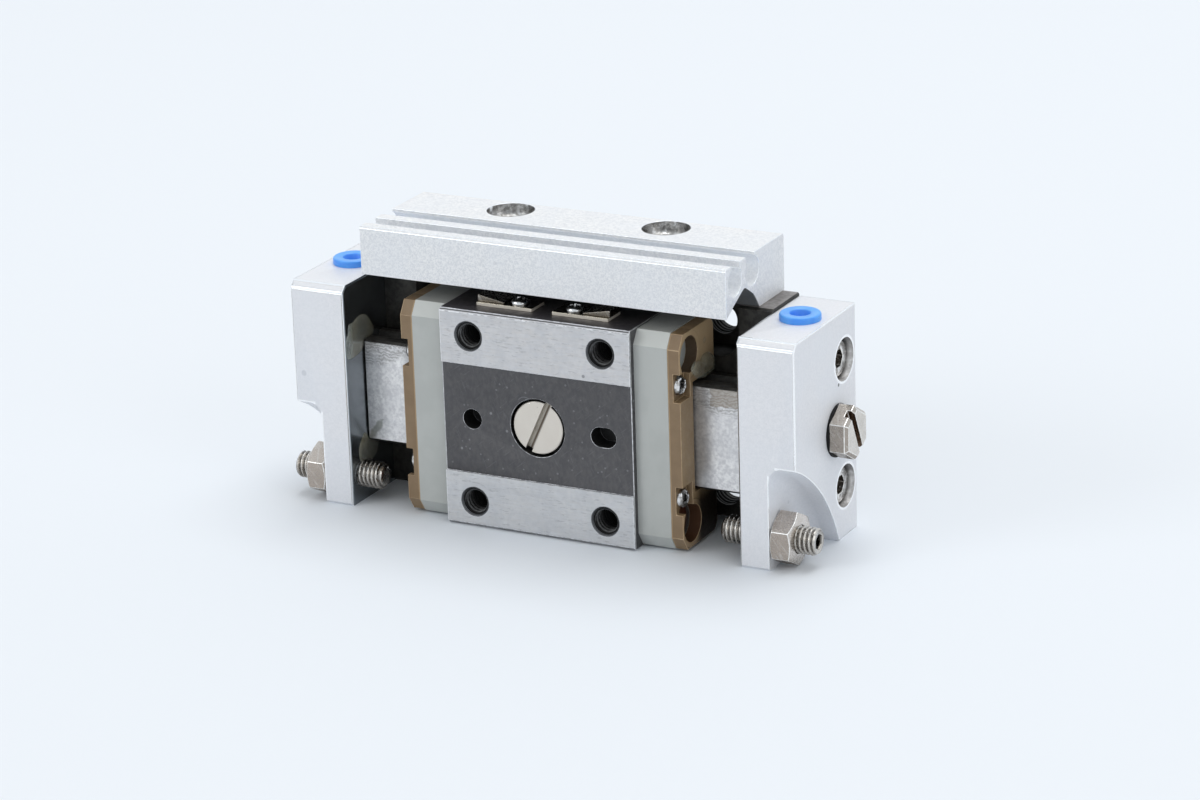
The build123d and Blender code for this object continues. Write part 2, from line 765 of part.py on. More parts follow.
# Rubber wipers between the return caps and the end plates
with BuildPart() as wiper_right:
    with BuildSketch(Plane.YZ.offset(cap_outer_x)):
        add(wiper_band(wiper_width))
    extrude(amount=wiper_thickness)

with BuildPart() as wiper_left:
    mirror(wiper_right.part, about=Plane.YZ)

# Screws that hold each end plate and return cap on the guide block
plate_screws = [
    pan_screw(
        facing(
            side * (cap_outer_x + plate_pocket_floor),
            block_front_y + plate_screw_setback,
            axis_z + offset_z,
            side,
        ),
        plate_screw_radius,
        plate_pocket_floor + cap_length + plate_screw_length - thread_clearance,
        plate_screw_head_radius,
        plate_screw_head_height,
    )
    for side in (-1, 1)
    for offset_z in (-plate_screw_offset, plate_screw_offset)
]
with BuildPart() as end_plate_screws:
    add(plate_screws)

# Stop pads that the adjusters meet at each end of the stroke
with BuildPart() as stop_pads:
    with BuildSketch(facing(stop_face_x, block_front_y + stop_setback, axis_z - stop_offset, 1)):
        Circle(stop_pad_radius)
    extrude(amount=-stop_pad_thickness)
    mirror(about=Plane.YZ)

# Loaded rows of balls between the raised rail and the guide block
ball_count = math.floor(table_length / ball_pitch)
ball_places = [(i - (ball_count - 1) / 2) * ball_pitch for i in range(ball_count)]
with BuildPart() as upper_balls:
    with Locations([(x, ball_y, axis_z + load_offset) for x in ball_places]):
        Sphere(ball_radius)

with BuildPart() as lower_balls:
    with Locations([(x, ball_y, axis_z - load_offset) for x in ball_places]):
        Sphere(ball_radius)

# Drive pin: slotted head, threaded collar and a plain shank into the piston
pin_head_y = table_front_y + land_recess + pin_recess
with BuildPart() as drive_pin:
    with BuildSketch(front_plane(pin_head_y)):
        with Locations((0, axis_z)):
            Circle(pin_head_radius)
    extrude(amount=-pin_head_height)
    chamfer(drive_pin.edges().group_by(Axis.Y)[0], pin_head_edge)
    with BuildSketch(front_plane(pin_head_y + pin_head_height)):
        with Locations((0, axis_z)):
            Circle(pin_thread_radius)
    extrude(amount=pin_head_y + pin_head_height - web_back_y)
    with BuildSketch(front_plane(web_back_y)):
        with Locations((0, axis_z)):
            Circle(pin_radius)
    extrude(amount=web_back_y - (block_front_y + pin_tip_setback))
    with BuildSketch(front_plane(pin_head_y)):
        with Locations((0, axis_z)):
            Rectangle(pin_driver_width, 2 * pin_head_radius + cut_over, rotation=pin_driver_angle)
    extrude(amount=-pin_driver_depth, mode=Mode.SUBTRACT)

# Piston: two heads on a waist, drilled across for the drive pin
piston_radius = bore_radius - piston_clearance
with BuildPart() as piston:
    with BuildSketch(Plane.YZ.offset(-piston_half_length)):
        with Locations((bore_y, axis_z)):
            Circle(piston_radius)
    extrude(amount=2 * piston_half_length)
    chamfer(piston.edges().filter_by(GeomType.CIRCLE), table_edge)
    waist_half = piston_half_length - piston_head_length
    with BuildSketch(Plane.YZ.offset(-waist_half)):
        with Locations((bore_y, axis_z)):
            Circle(piston_radius + cut_over)
            Circle(piston_waist_radius, mode=Mode.SUBTRACT)
    extrude(amount=2 * waist_half, mode=Mode.SUBTRACT)
    for side in (-1, 1):
        with BuildSketch(facing(side * (piston_half_length - seal_inset), bore_y, axis_z, side)):
            Circle(piston_radius + cut_over)
            Circle(piston_radius - seal_depth, mode=Mode.SUBTRACT)
        extrude(amount=-seal_width, mode=Mode.SUBTRACT)
    with BuildSketch(front_plane(bore_y - piston_radius)):
        with Locations((0, axis_z)):
            Circle(pin_radius + thread_clearance)
    pin_hole_depth = block_front_y + pin_tip_setback + screw_clearance - (bore_y - piston_radius)
    extrude(amount=-pin_hole_depth, mode=Mode.SUBTRACT)

with BuildPart() as piston_seals:
    for side in (-1, 1):
        with BuildSketch(facing(side * (piston_half_length - seal_inset), bore_y, axis_z, side)):
            Circle(piston_radius)
            Circle(piston_radius - seal_depth, mode=Mode.SUBTRACT)
        extrude(amount=-seal_width)

# Magnet plates: stamped plates on the block's top face, each with a wedge magnet
magnet_plate_y = block_front_y + magnet_plate_setback
with BuildPart() as magnet_plates:
    with BuildSketch(Plane.XY.offset(table_top_z)) as magnet_plate_section:
        with Locations((magnet_plate_inner_x, magnet_plate_y)):
            Rectangle(
                magnet_plate_outer_x - magnet_plate_inner_x,
                magnet_plate_depth,
                align=(Align.MIN, Align.MIN),
            )
        fillet(magnet_plate_section.vertices().group_by(Axis.Y)[-1], magnet_plate_thickness)
        with Locations((magnet_screw_x, block_front_y + magnet_screw_setback)):
            Circle(magnet_screw_radius + thread_clearance, mode=Mode.SUBTRACT)
    extrude(amount=magnet_plate_thickness)
    mirror(about=Plane.YZ)

magnet_plate_top_z = table_top_z + magnet_plate_thickness
magnet_inner_x = magnet_plate_outer_x - magnet_length
with BuildPart() as magnets:
    with BuildSketch(front_plane(magnet_plate_y + magnet_plate_depth)):
        with BuildLine():
            Polyline(
                (magnet_inner_x, magnet_plate_top_z),
                (magnet_plate_outer_x, magnet_plate_top_z),
                (magnet_plate_outer_x, magnet_plate_top_z + magnet_height),
                (magnet_inner_x, magnet_plate_top_z + magnet_low_height),
                close=True,
            )
        make_face()
    extrude(amount=magnet_depth)
    mirror(about=Plane.YZ)

magnet_screws = [
    pan_screw(
        Plane((side * magnet_screw_x, block_front_y + magnet_screw_setback, magnet_plate_top_z)),
        magnet_screw_radius,
        magnet_plate_thickness + magnet_screw_length - thread_clearance,
        magnet_screw_head_radius,
        magnet_screw_head_height,
    )
    for side in (-1, 1)
]
with BuildPart() as magnet_plate_screws:
    add(magnet_screws)

# Every finished piece is labelled and written to its own file
pieces = {
    "guide_rail": guide_rail,
    "end_block_right": end_block_right,
    "end_block_left": end_block_left,
    "bore_seal_rings": bore_seal_rings,
    "end_block_screws": end_block_screws,
    "port_gaskets": port_gaskets,
    "port_plug_right": port_plug_right,
    "port_plug_left": port_plug_left,
    "dust_plug_right": dust_plug_right,
    "dust_plug_left": dust_plug_left,
    "adjuster_right": adjuster_right,
    "adjuster_left": adjuster_left,
    "lock_nut_right": lock_nut_right,
    "lock_nut_left": lock_nut_left,
    "switch_rail": switch_rail,
    "switch_rail_screws": switch_rail_screws,
    "guide_block": guide_block,
    "return_cap_right": return_cap_right,
    "return_cap_left": return_cap_left,
    "end_plate_right": end_plate_right,
    "end_plate_left": end_plate_left,
    "wiper_right": wiper_right,
    "wiper_left": wiper_left,
    "end_plate_screws": end_plate_screws,
    "stop_pads": stop_pads,
    "upper_balls": upper_balls,
    "lower_balls": lower_balls,
    "drive_pin": drive_pin,
    "piston": piston,
    "piston_seals": piston_seals,
    "magnet_plates": magnet_plates,
    "magnets": magnets,
    "magnet_plate_screws": magnet_plate_screws,
}
os.makedirs("parts", exist_ok=True)
for name, piece in pieces.items():
    piece.part.label = name
    export_step(piece.part, f"parts/{name}.step")
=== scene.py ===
import math

import bmesh
import bpy
import numpy as np
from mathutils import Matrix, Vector


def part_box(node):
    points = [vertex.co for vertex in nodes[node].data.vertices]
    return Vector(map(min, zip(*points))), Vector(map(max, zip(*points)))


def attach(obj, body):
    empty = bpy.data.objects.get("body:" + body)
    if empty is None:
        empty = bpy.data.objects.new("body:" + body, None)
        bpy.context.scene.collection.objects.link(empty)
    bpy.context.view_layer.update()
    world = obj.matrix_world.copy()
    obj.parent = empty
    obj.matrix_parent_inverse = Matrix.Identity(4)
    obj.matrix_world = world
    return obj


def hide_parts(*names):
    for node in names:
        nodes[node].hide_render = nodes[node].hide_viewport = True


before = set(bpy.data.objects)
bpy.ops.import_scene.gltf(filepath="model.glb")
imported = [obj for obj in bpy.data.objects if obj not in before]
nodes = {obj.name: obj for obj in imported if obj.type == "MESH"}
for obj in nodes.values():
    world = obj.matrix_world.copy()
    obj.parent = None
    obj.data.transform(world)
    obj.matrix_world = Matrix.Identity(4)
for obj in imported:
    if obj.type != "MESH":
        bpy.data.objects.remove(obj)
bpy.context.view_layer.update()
MM = 0.001
AROUND = 2 * math.pi


# Measures, in millimetres where nothing else is said

def box_of(node):
    """Low and high corner of a solid's box."""
    low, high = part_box(node)
    return [value / MM for value in low], [value / MM for value in high]


def middle(node):
    """Centre of a solid's box."""
    return np.mean(box_of(node), axis=0)


(block_inner, block_front, block_foot), (block_outer, block_back, block_top) = box_of("end_block_right")
(table_left, table_front, table_foot), (table_right, _, table_top) = box_of("guide_block")
(_, rail_front, _), (_, rail_back, base_top) = box_of("guide_rail")
(plate_inner, _, _), (plate_face, _, _) = box_of("end_plate_right")
switch_end = box_of("switch_rail")[1][0]
axis_height = 16.4
land_recess = 0.3
# Places of axes along the stroke, as Y and Z, and of the stop openings in the end plates
block_screws = ((6.5, 7.6), (6.5, 26.45))
groove_axes = ((-5.41, 40.05), (0.18, 40.05))
low_stop, high_stop = (-6.5, 3.9), (-6.5, 28.9)
# The switch rail's screws as X and Y, and a level under their seats
switch_screw = (12.5, 6.8)
under_seats = 37.0
# The table's tapped holes as X and their rise over the pin's axis, and the radius of their mouths
table_hole = (10.5, 12.5)
mouth_radius = 2.27
# The milled pocket of an end block: how high and how far back its arc reaches, and the arc's axis
pocket_top, pocket_back, pocket_radius = 15.3, 14.4, 28.7
pocket_floor = block_outer - 4.2
pocket_chord = math.hypot(pocket_top, pocket_back)
pocket_reach = math.sqrt(pocket_radius ** 2 - (pocket_chord / 2) ** 2)
pocket_axis = (block_front + pocket_back / 2 - pocket_reach * pocket_top / pocket_chord,
               pocket_top / 2 - pocket_reach * pocket_back / pocket_chord)


# Mesh making

def grid_faces(rows, columns, wrap_rows, start):
    """Quads between neighbouring places of a grid whose last column joins the first, and its last row too
    where the rows wrap."""
    places = np.arange(rows * columns).reshape(rows, columns) + start
    if wrap_rows:
        places = np.vstack([places, places[:1]])
    places = np.hstack([places, places[:, :1]])
    corners = [places[:-1, :-1], places[:-1, 1:], places[1:, 1:], places[1:, :-1]]
    return np.stack(corners, axis=-1).reshape(-1, 4)


def mesh_of(name, grids, wrap_rows=False, recess=None):
    """One mesh from point grids, welded along its seams and at its poles, with faces turned outwards.
    recess, one value for each point of a grid, is 1 where dirt and shade gather and 0 on open metal."""
    points, faces, start = [], [], 0
    for grid in grids:
        faces.append(grid_faces(grid.shape[0], grid.shape[1], wrap_rows, start))
        points.append(grid.reshape(-1, 3))
        start += grid.shape[0] * grid.shape[1]
    mesh = bpy.data.meshes.new(name)
    mesh.from_pydata(np.concatenate(points).tolist(), [], np.concatenate(faces).tolist())
    if recess is not None:
        layer = mesh.attributes.new("recess", "FLOAT", "POINT")
        layer.data.foreach_set("value", np.tile(np.asarray(recess, float).ravel(), len(grids)))
    work = bmesh.new()
    work.from_mesh(mesh)
    bmesh.ops.remove_doubles(work, verts=work.verts, dist=2e-7)
    bmesh.ops.dissolve_degenerate(work, edges=work.edges, dist=1e-7)
    bmesh.ops.recalc_face_normals(work, faces=work.faces)
    work.to_mesh(mesh)
    work.free()
    return mesh


def shown(name, data):
    """Puts a mesh, lamp or camera into the scene as an object."""
    made = bpy.data.objects.new(name, data)
    bpy.context.scene.collection.objects.link(made)
    return made


def finish_piece(name, mesh, material, body, stands_for=(), crease=38.0):
    """Shows a mesh as a piece with its material, soft shading and place in the frame."""
    piece = shown(name, mesh)
    mesh.materials.clear()
    mesh.materials.append(material)
    mesh.shade_smooth()
    mesh.set_sharp_from_angle(angle=math.radians(crease))
    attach(piece, body)
    if stands_for:
        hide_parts(*stands_for)
    return piece


def softened(node, edge, material, edge_material, body):
    """A solid's own surface, welded and freed of needless edges, with its sharp edges rounded a little.
    The rounded edges may have a finish of their own: a paler colour painted as a highlight where they catch
    the light, and the wear they take first."""
    crease = 32.0
    mesh = nodes[node].data.copy()
    work = bmesh.new()
    work.from_mesh(mesh)
    bmesh.ops.remove_doubles(work, verts=work.verts, dist=2e-6)
    bmesh.ops.dissolve_limit(work, angle_limit=math.radians(0.6), verts=work.verts, edges=work.edges)
    work.to_mesh(mesh)
    work.free()
    piece = finish_piece(node + "_finished", mesh, material, body, (node,), crease)
    rounding = piece.modifiers.new("edge_rounding", "BEVEL")
    rounding.width = edge * MM
    rounding.segments = 2
    rounding.limit_method = "ANGLE"
    rounding.angle_limit = math.radians(crease)
    rounding.use_clamp_overlap = True
    rounding.harden_normals = True
    if edge_material:
        mesh.materials.append(edge_material)
        rounding.material = 1


def turned(along, out, columns):
    """Points of a profile carried round its axis: row i lies along[i] up the axis and out[i] from it.
    out may also give a distance for each column, for hexagons and threads."""
    angle = np.linspace(0, AROUND, columns, endpoint=False)
    out = np.asarray(out, float)
    if out.ndim == 1:
        out = np.repeat(out[:, None], columns, axis=1)
    along = np.repeat(np.asarray(along, float)[:, None], columns, axis=1)
    return np.stack([out * np.cos(angle), out * np.sin(angle), along], axis=-1)


def placed(points, origin, axis, up=(0, 0, 1)):
    """Carries points from their own frame to a place, with their third direction along the axis, and
    turns them from millimetres into metres."""
    side = np.cross(up, axis)
    basis = np.stack([side, up, axis]).astype(float)
    return (np.array(origin) + points @ basis) * MM


def hexagon(flats, columns):
    """Distance from the centre to a hexagon's side, for each direction round it."""
    angle = np.linspace(0, AROUND, columns, endpoint=False)
    return flats / 2 / np.cos((angle + math.pi / 6) % (math.pi / 3) - math.pi / 6)


def smooth_step(low, high, value):
    """Rises from 0 at low to 1 at high with level ends."""
    share = np.clip((value - low) / (high - low), 0, 1)
    return share * share * (3 - 2 * share)


def thread_wave(phase):
    """Height of a thread between root, 0, and crest, 1, from its phase: narrow flat crest, sloping flanks."""
    return smooth_step(0.14, 0.8, np.abs((phase % 1.0) * 2 - 1))


# Shader helpers

FLOAT, VECTOR = "NodeSocketFloat", "NodeSocketVector"


def feed(tree, socket, value):
    """Gives an input a value, or links it to another node's socket."""
    if isinstance(value, bpy.types.NodeSocket):
        tree.links.new(value, socket)
    else:
        socket.default_value = value


def wire(tree, kind, inputs=None, **settings):
    """Adds a shader node with its settings and inputs."""
    made = tree.nodes.new(kind)
    for name, value in settings.items():
        setattr(made, name, value)
    for name, value in (inputs or {}).items():
        feed(tree, made.inputs[name], value)
    return made


def calc(tree, operation, first, second=0.0):
    return wire(tree, "ShaderNodeMath", {0: first, 1: second}, operation=operation).outputs[0]


def span(tree, value, low, high, to_low=0.0, to_high=1.0):
    """Maps a value smoothly from one span to another and holds it at the ends."""
    inputs = {"Value": value, "From Min": low, "From Max": high, "To Min": to_low, "To Max": to_high}
    return wire(tree, "ShaderNodeMapRange", inputs, interpolation_type="SMOOTHSTEP").outputs["Result"]


def mixed(tree, share, first, second):
    return wire(tree, "ShaderNodeMix", {0: share, 6: first, 7: second}, data_type="RGBA").outputs[2]


def cloudy(tree, place, scale, detail, roughness=0.5):
    """Soft noise between 0 and 1."""
    inputs = {"Vector": place, "Scale": scale, "Detail": detail, "Roughness": roughness}
    return wire(tree, "ShaderNodeTexNoise", inputs).outputs["Fac"]


def tone(red, green, blue):
    """A colour as it looks on screen, turned into light values."""
    values = np.array([red, green, blue]) / 255
    linear = np.where(values <= 0.04045, values / 12.92, ((values + 0.055) / 1.055) ** 2.4)
    return (*linear.tolist(), 1.0)


def group_with(name, inputs, outputs):
    """An empty shader group with named float and vector sockets."""
    tree = bpy.data.node_groups.new(name, "ShaderNodeTree")
    for label, kind, value in inputs:
        socket = tree.interface.new_socket(label, in_out="INPUT", socket_type=kind)
        if value is not None:
            socket.default_value = value
    for label in outputs:
        tree.interface.new_socket(label, in_out="OUTPUT", socket_type=FLOAT)
    return tree, tree.nodes.new("NodeGroupInput").outputs, tree.nodes.new("NodeGroupOutput").inputs


def make_grain_group():
    """Even grain: two octaves of fine noise. Tone and Height swing about a half."""
    inputs = [("Coordinates", VECTOR, None), ("Scale", FLOAT, 3000.0)]
    tree, given, result = group_with("even_grain", inputs, ["Tone", "Height"])
    fine = cloudy(tree, given[0], given[1], 2.0, 0.6)
    broad = cloudy(tree, given[0], calc(tree, "MULTIPLY", given[1], 0.37), 1.0)
    both = calc(tree, "ADD", calc(tree, "MULTIPLY", fine, 0.65), calc(tree, "MULTIPLY", broad, 0.35))
    feed(tree, result[0], span(tree, both, 0.36, 0.64))
    feed(tree, result[1], fine)
    return tree


def make_streak_group():
    """Streaks along one direction: noise on coordinates squeezed across the streaks."""
    inputs = [("Coordinates", VECTOR, None), ("Squeeze", VECTOR, (60.0, 60.0, 2400.0))]
    tree, given, result = group_with("streaks", inputs, ["Tone", "Height"])
    stretched = wire(tree, "ShaderNodeVectorMath", {0: given[0], 1: given[1]}, operation="MULTIPLY")
    lines = cloudy(tree, stretched.outputs[0], 1.0, 4.0, 0.62)
    feed(tree, result[0], span(tree, lines, 0.33, 0.67))
    feed(tree, result[1], lines)
    return tree


def make_marks_group():
    """Sparse small marks: the cells of a Voronoi pattern whose centre is near and whose own value is low."""
    inputs = [("Coordinates", VECTOR, None), ("Scale", FLOAT, 900.0),
              ("Size", FLOAT, 0.22), ("Share", FLOAT, 0.3)]
    tree, given, result = group_with("sparse_marks", inputs, ["Mask"])
    cells = wire(tree, "ShaderNodeTexVoronoi", {"Vector": given[0], "Scale": given[1]}, feature="F1").outputs
    near = calc(tree, "LESS_THAN", cells["Distance"], given[2])
    value = wire(tree, "ShaderNodeSeparateColor", {0: cells["Color"]}).outputs[0]
    feed(tree, result[0], calc(tree, "MULTIPLY", near, calc(tree, "LESS_THAN", value, given[3])))
    return tree


GRAIN = make_grain_group()
STREAKS = make_streak_group()
MARKS = make_marks_group()


class Finish:
    """A material in the making: its Object coordinates in millimetres, its masks and its main shader."""

    def __init__(self, name, colour, roughness, metallic=0.0):
        self.material = bpy.data.materials.new(name)
        self.material.use_nodes = True
        self.tree = self.material.node_tree
        self.shader = self.tree.nodes["Principled BSDF"]
        self.place = wire(self.tree, "ShaderNodeTexCoord").outputs["Object"]
        in_mm = wire(self.tree, "ShaderNodeVectorMath", {0: self.place, 3: 1 / MM}, operation="SCALE")
        self.x, self.y, self.z = wire(self.tree, "ShaderNodeSeparateXYZ", {0: in_mm.outputs[0]}).outputs
        self.set("Base Color", colour)
        self.set("Roughness", roughness)
        self.set("Metallic", metallic)

    def set(self, socket, value):
        feed(self.tree, self.shader.inputs[socket], value)

    def colour(self):
        """The pattern that now feeds the base colour."""
        return self.shader.inputs["Base Color"].links[0].from_socket

    def grain(self, scale):
        inputs = {"Coordinates": self.place, "Scale": scale}
        return wire(self.tree, "ShaderNodeGroup", inputs, node_tree=GRAIN).outputs

    def streaks(self, squeeze, turn=None):
        """Streak tones, on coordinates turned by three angles in degrees where turn gives them."""
        place = self.place
        if turn:
            inputs = {"Vector": place, "Rotation": tuple(math.radians(angle) for angle in turn)}
            place = wire(self.tree, "ShaderNodeVectorRotate", inputs, rotation_type="EULER_XYZ").outputs[0]
        inputs = {"Coordinates": place, "Squeeze": squeeze}
        return wire(self.tree, "ShaderNodeGroup", inputs, node_tree=STREAKS).outputs

    def marks(self, scale, size, share):
        inputs = {"Coordinates": self.place, "Scale": scale, "Size": size, "Share": share}
        return wire(self.tree, "ShaderNodeGroup", inputs, node_tree=MARKS).outputs[0]

    def noise(self, scale, detail=3.0, low=0.35, high=0.65):
        return span(self.tree, cloudy(self.tree, self.place, scale, detail), low, high)

    def recess(self):
        """The mesh's own mark of dirt and shade, 0 on a mesh that has none."""
        return wire(self.tree, "ShaderNodeAttribute", attribute_name="recess").outputs["Fac"]

    def facing(self):
        """The surface's own direction, as its three parts."""
        normal = wire(self.tree, "ShaderNodeNewGeometry").outputs["Normal"]
        return wire(self.tree, "ShaderNodeSeparateXYZ", {0: normal}).outputs

    def swing(self, value, low, high):
        """Turns a value from 0 to 1 into one between two others."""
        return span(self.tree, value, 0.0, 1.0, low, high)

    def over(self, base, *coats):
        """Lays coats over the base, one after another: each has a mask, its share there and a colour."""
        for mask, share, colour in coats:
            base = mixed(self.tree, self.times(mask, share), base, colour)
        return base

    def plus(self, first, second):
        return calc(self.tree, "ADD", first, second)

    def minus(self, first, second):
        return calc(self.tree, "SUBTRACT", first, second)

    def times(self, first, second):
        return calc(self.tree, "MULTIPLY", first, second)

    def size_of(self, value):
        return calc(self.tree, "ABSOLUTE", value)

    def above(self, value, limit):
        return calc(self.tree, "GREATER_THAN", value, limit)

    def below(self, value, limit):
        return calc(self.tree, "LESS_THAN", value, limit)

    def chained(self, operation, values):
        """Joins values by one operation, from the first to the last."""
        result = values[0]
        for value in values[1:]:
            result = calc(self.tree, operation, result, value)
        return result

    def both(self, *masks):
        return self.chained("MULTIPLY", masks)

    def either(self, *masks):
        return self.chained("MAXIMUM", masks)

    def rest(self, mask):
        """Where a mask isn't."""
        return self.minus(1.0, mask)

    def gap(self, value, *places):
        """Distance along one direction to the nearest of some places."""
        return self.chained("MINIMUM", [self.size_of(self.minus(value, place)) for place in places])

    def distance(self, first, second, *axes):
        """How far a point is from the nearest of some parallel axes, from the two coordinates across them."""
        distances = []
        for at in axes:
            across, up = self.minus(first, at[0]), self.minus(second, at[1])
            square = self.plus(self.times(across, across), self.times(up, up))
            distances.append(calc(self.tree, "SQRT", square))
        return self.chained("MINIMUM", distances)

    def near_axis(self, first, second, at, radius):
        """1 within a radius of an axis."""
        return self.below(self.distance(first, second, at), radius)

    def across_slot(self, first, second, at, turn):
        """Distance, with its sign, from the middle line of a slot through a place, turned by degrees."""
        turn = math.radians(turn)
        return self.plus(self.times(self.minus(first, at[0]), math.cos(turn)),
                         self.times(self.minus(second, at[1]), math.sin(turn)))

    def edges(self, width, *gaps):
        """Where two of the gaps to a solid's planes are small at once: along its edges."""
        nearest, second = gaps[0], None
        for other in gaps[1:]:
            larger = calc(self.tree, "MAXIMUM", nearest, other)
            second = larger if second is None else calc(self.tree, "MINIMUM", second, larger)
            nearest = calc(self.tree, "MINIMUM", nearest, other)
        return span(self.tree, second, width, width * 0.35)

    def bump(self, height, strength, distance, sunk_edges=None):
        """Small relief. Edges that sink first lean their normals over, as if rounded."""
        inputs = {"Height": height, "Strength": strength, "Distance": distance * MM}
        if sunk_edges is not None:
            edge_inputs = {"Height": sunk_edges, "Strength": 1.0, "Distance": 0.14 * MM}
            inputs["Normal"] = wire(self.tree, "ShaderNodeBump", edge_inputs, invert=True).outputs[0]
        self.set("Normal", wire(self.tree, "ShaderNodeBump", inputs).outputs[0])


# Finishes

def block_edges(finish, from_middle, normal):
    """Masks of an end block's edge lines, where highlights are painted: first its corners and bevelled top
    edge alone, and then these with the milled pocket's outline and the fillets."""
    y, z = finish.y, finish.z
    ends, front = finish.gap(from_middle, block_inner, block_outer), finish.gap(y, block_front)
    slope = finish.plus(finish.minus(y, block_front), finish.minus(block_top, z))
    corner_lines = finish.edges(0.34, ends, finish.gap(y, block_front, block_back),
                                finish.gap(z, block_foot, block_top), finish.gap(slope, 1.0))
    arc = finish.gap(finish.distance(y, z, pocket_axis), pocket_radius)
    arc_lines = finish.both(finish.either(finish.edges(0.24, arc, ends), finish.edges(0.24, arc, front)),
                            finish.above(from_middle, pocket_floor + 1.0))
    front_line = finish.both(finish.edges(0.24, finish.gap(from_middle, pocket_floor), front),
                             finish.below(z, pocket_top - 1.2))
    in_pocket = finish.both(finish.above(from_middle, pocket_floor), finish.below(z, pocket_top + 1),
                            finish.below(y, block_front + pocket_back))
    slanted = finish.times(finish.size_of(normal[0]),
                           finish.either(finish.size_of(normal[1]), finish.size_of(normal[2])))
    fillets = finish.both(span(finish.tree, slanted, 0.1, 0.35), finish.rest(in_pocket))
    return corner_lines, finish.either(corner_lines, arc_lines, front_line, fillets)


def turned_metal(finish, from_middle, upward):
    """Colours of bare turned metal: plain, and as an end block's deep seats have it, with shaded walls: paler
    as painted light where they face up, and with painted shade where they face down and deeper in the seat.
    """
    tree = finish.tree
    chatter = finish.noise(1500.0, 3.0, 0.42, 0.6)
    plain = mixed(tree, chatter, tone(190, 189, 187), tone(248, 248, 248))
    shaded = finish.over(
        mixed(tree, chatter, tone(222, 221, 221), tone(250, 250, 250)),
        (span(tree, upward, 0.1, -0.6), 0.55, tone(112, 110, 110)),
        (span(tree, from_middle, block_outer - 0.5, block_outer - 1.2), 0.6, tone(120, 117, 114)),
        (span(tree, from_middle, block_outer - 1.0, block_outer - 1.6), 0.8, tone(52, 49, 46)))
    return plain, shaded


def silver_anodising(name, speckle, pale):
    """Silver anodising over a blasted skin: a grain as strong as speckle gives, soft patches, small pits.
    Screw seats are bare and turned, and the faces towards the rail are smooth milled metal, painted darker as
    shade. Edges and seat rims have painted highlights, and the seats' walls and the switch rail's underside
    have painted shade."""
    finish = Finish(name, tone(232, 234, 237), 0.42, 0.15)
    tree, x, y, z = finish.tree, finish.x, finish.y, finish.z
    from_middle = finish.size_of(x)
    normal = finish.facing()
    on_block = finish.above(from_middle, block_inner - 0.25)
    on_switch_rail = finish.below(from_middle, switch_end - 0.1)

    # The skin, with the switch rail's grooves, painted shade on its underside, a dark dot and a dent
    fine = finish.grain(6200.0)
    patches = finish.noise(120.0, 2.0)
    pits = finish.marks(420.0, 0.12, 0.05)
    grooves = finish.both(finish.below(finish.distance(y, z, *groove_axes), 2.3), on_switch_rail)
    painted_underside_shade = finish.both(span(tree, normal[2], -0.1, -0.5), finish.rest(grooves), on_switch_rail)
    dot = finish.both(finish.near_axis(y, z, (4.43, 23.29), 0.24), finish.above(x, block_outer - 0.1))
    dent = finish.both(finish.near_axis(x, z, (-38.46, 19.7), 0.42), finish.below(y, block_front + 0.1))
    skin = finish.over(
        mixed(tree, finish.swing(fine[0], 0.5 - speckle, 0.5 + speckle), tone(200, 205, 212), pale),
        (patches, 0.3, tone(225, 230, 237)),
        (pits, 0.25, tone(176, 180, 188)),
        (grooves, 0.4, tone(246, 250, 255)),
        (painted_underside_shade, 0.85, tone(70, 72, 74)),
        (dot, 0.9, tone(70, 72, 76)),
        (dent, 0.35, tone(172, 178, 187)))

    # Bare metal: the screws' seats, and the end blocks' faces towards the rail, painted darker as shade
    from_screw = finish.distance(y, z, *block_screws)
    block_seats = finish.both(finish.below(from_screw, 3.17), finish.above(from_middle, block_inner + 0.75),
                              finish.below(from_middle, block_outer - 0.03))
    top_seats = finish.both(finish.near_axis(from_middle, y, switch_screw, 3.55),
                            finish.above(z, under_seats))
    seats = finish.either(block_seats, top_seats)
    inner = finish.both(finish.below(from_middle, block_inner + 0.07),
                        finish.above(from_middle, block_inner - 0.15))
    machined = finish.either(seats, inner)
    seat_floor, seat_wall = turned_metal(finish, from_middle, normal[2])
    bare = mixed(tree, block_seats, seat_floor, seat_wall)
    # Painted shade: the faces towards the rail get dark tones
    bare = mixed(tree, inner, bare, mixed(tree, patches, tone(128, 134, 139), tone(142, 148, 153)))

    # Painted highlights along the edges, and on the rims of the end blocks' seats
    corner_lines, lines = block_edges(finish, from_middle, normal)
    rim = finish.both(finish.below(from_screw, 3.5), finish.above(from_middle, block_outer - 0.1),
                      finish.rest(seats))
    # Where the highlights are painted near-white: edge lines of the blocks and the seats' rims
    rounded = finish.either(finish.both(lines, on_block, finish.rest(machined)), rim)
    skin = finish.over(skin, (rounded, 0.9, tone(255, 255, 255)))
    finish.set("Base Color", mixed(tree, machined, skin, bare))
    shine = finish.minus(finish.swing(machined, 0.15, 0.95), finish.times(block_seats, 0.55))
    finish.set("Metallic", finish.either(shine, rounded))
    finish.set("Roughness", finish.swing(finish.either(machined, rounded), 0.46, 0.26))
    finish.bump(finish.times(fine[1], finish.rest(machined)), 0.1 + speckle * 0.8, 0.025,
                finish.both(corner_lines, on_block))
    return finish.material


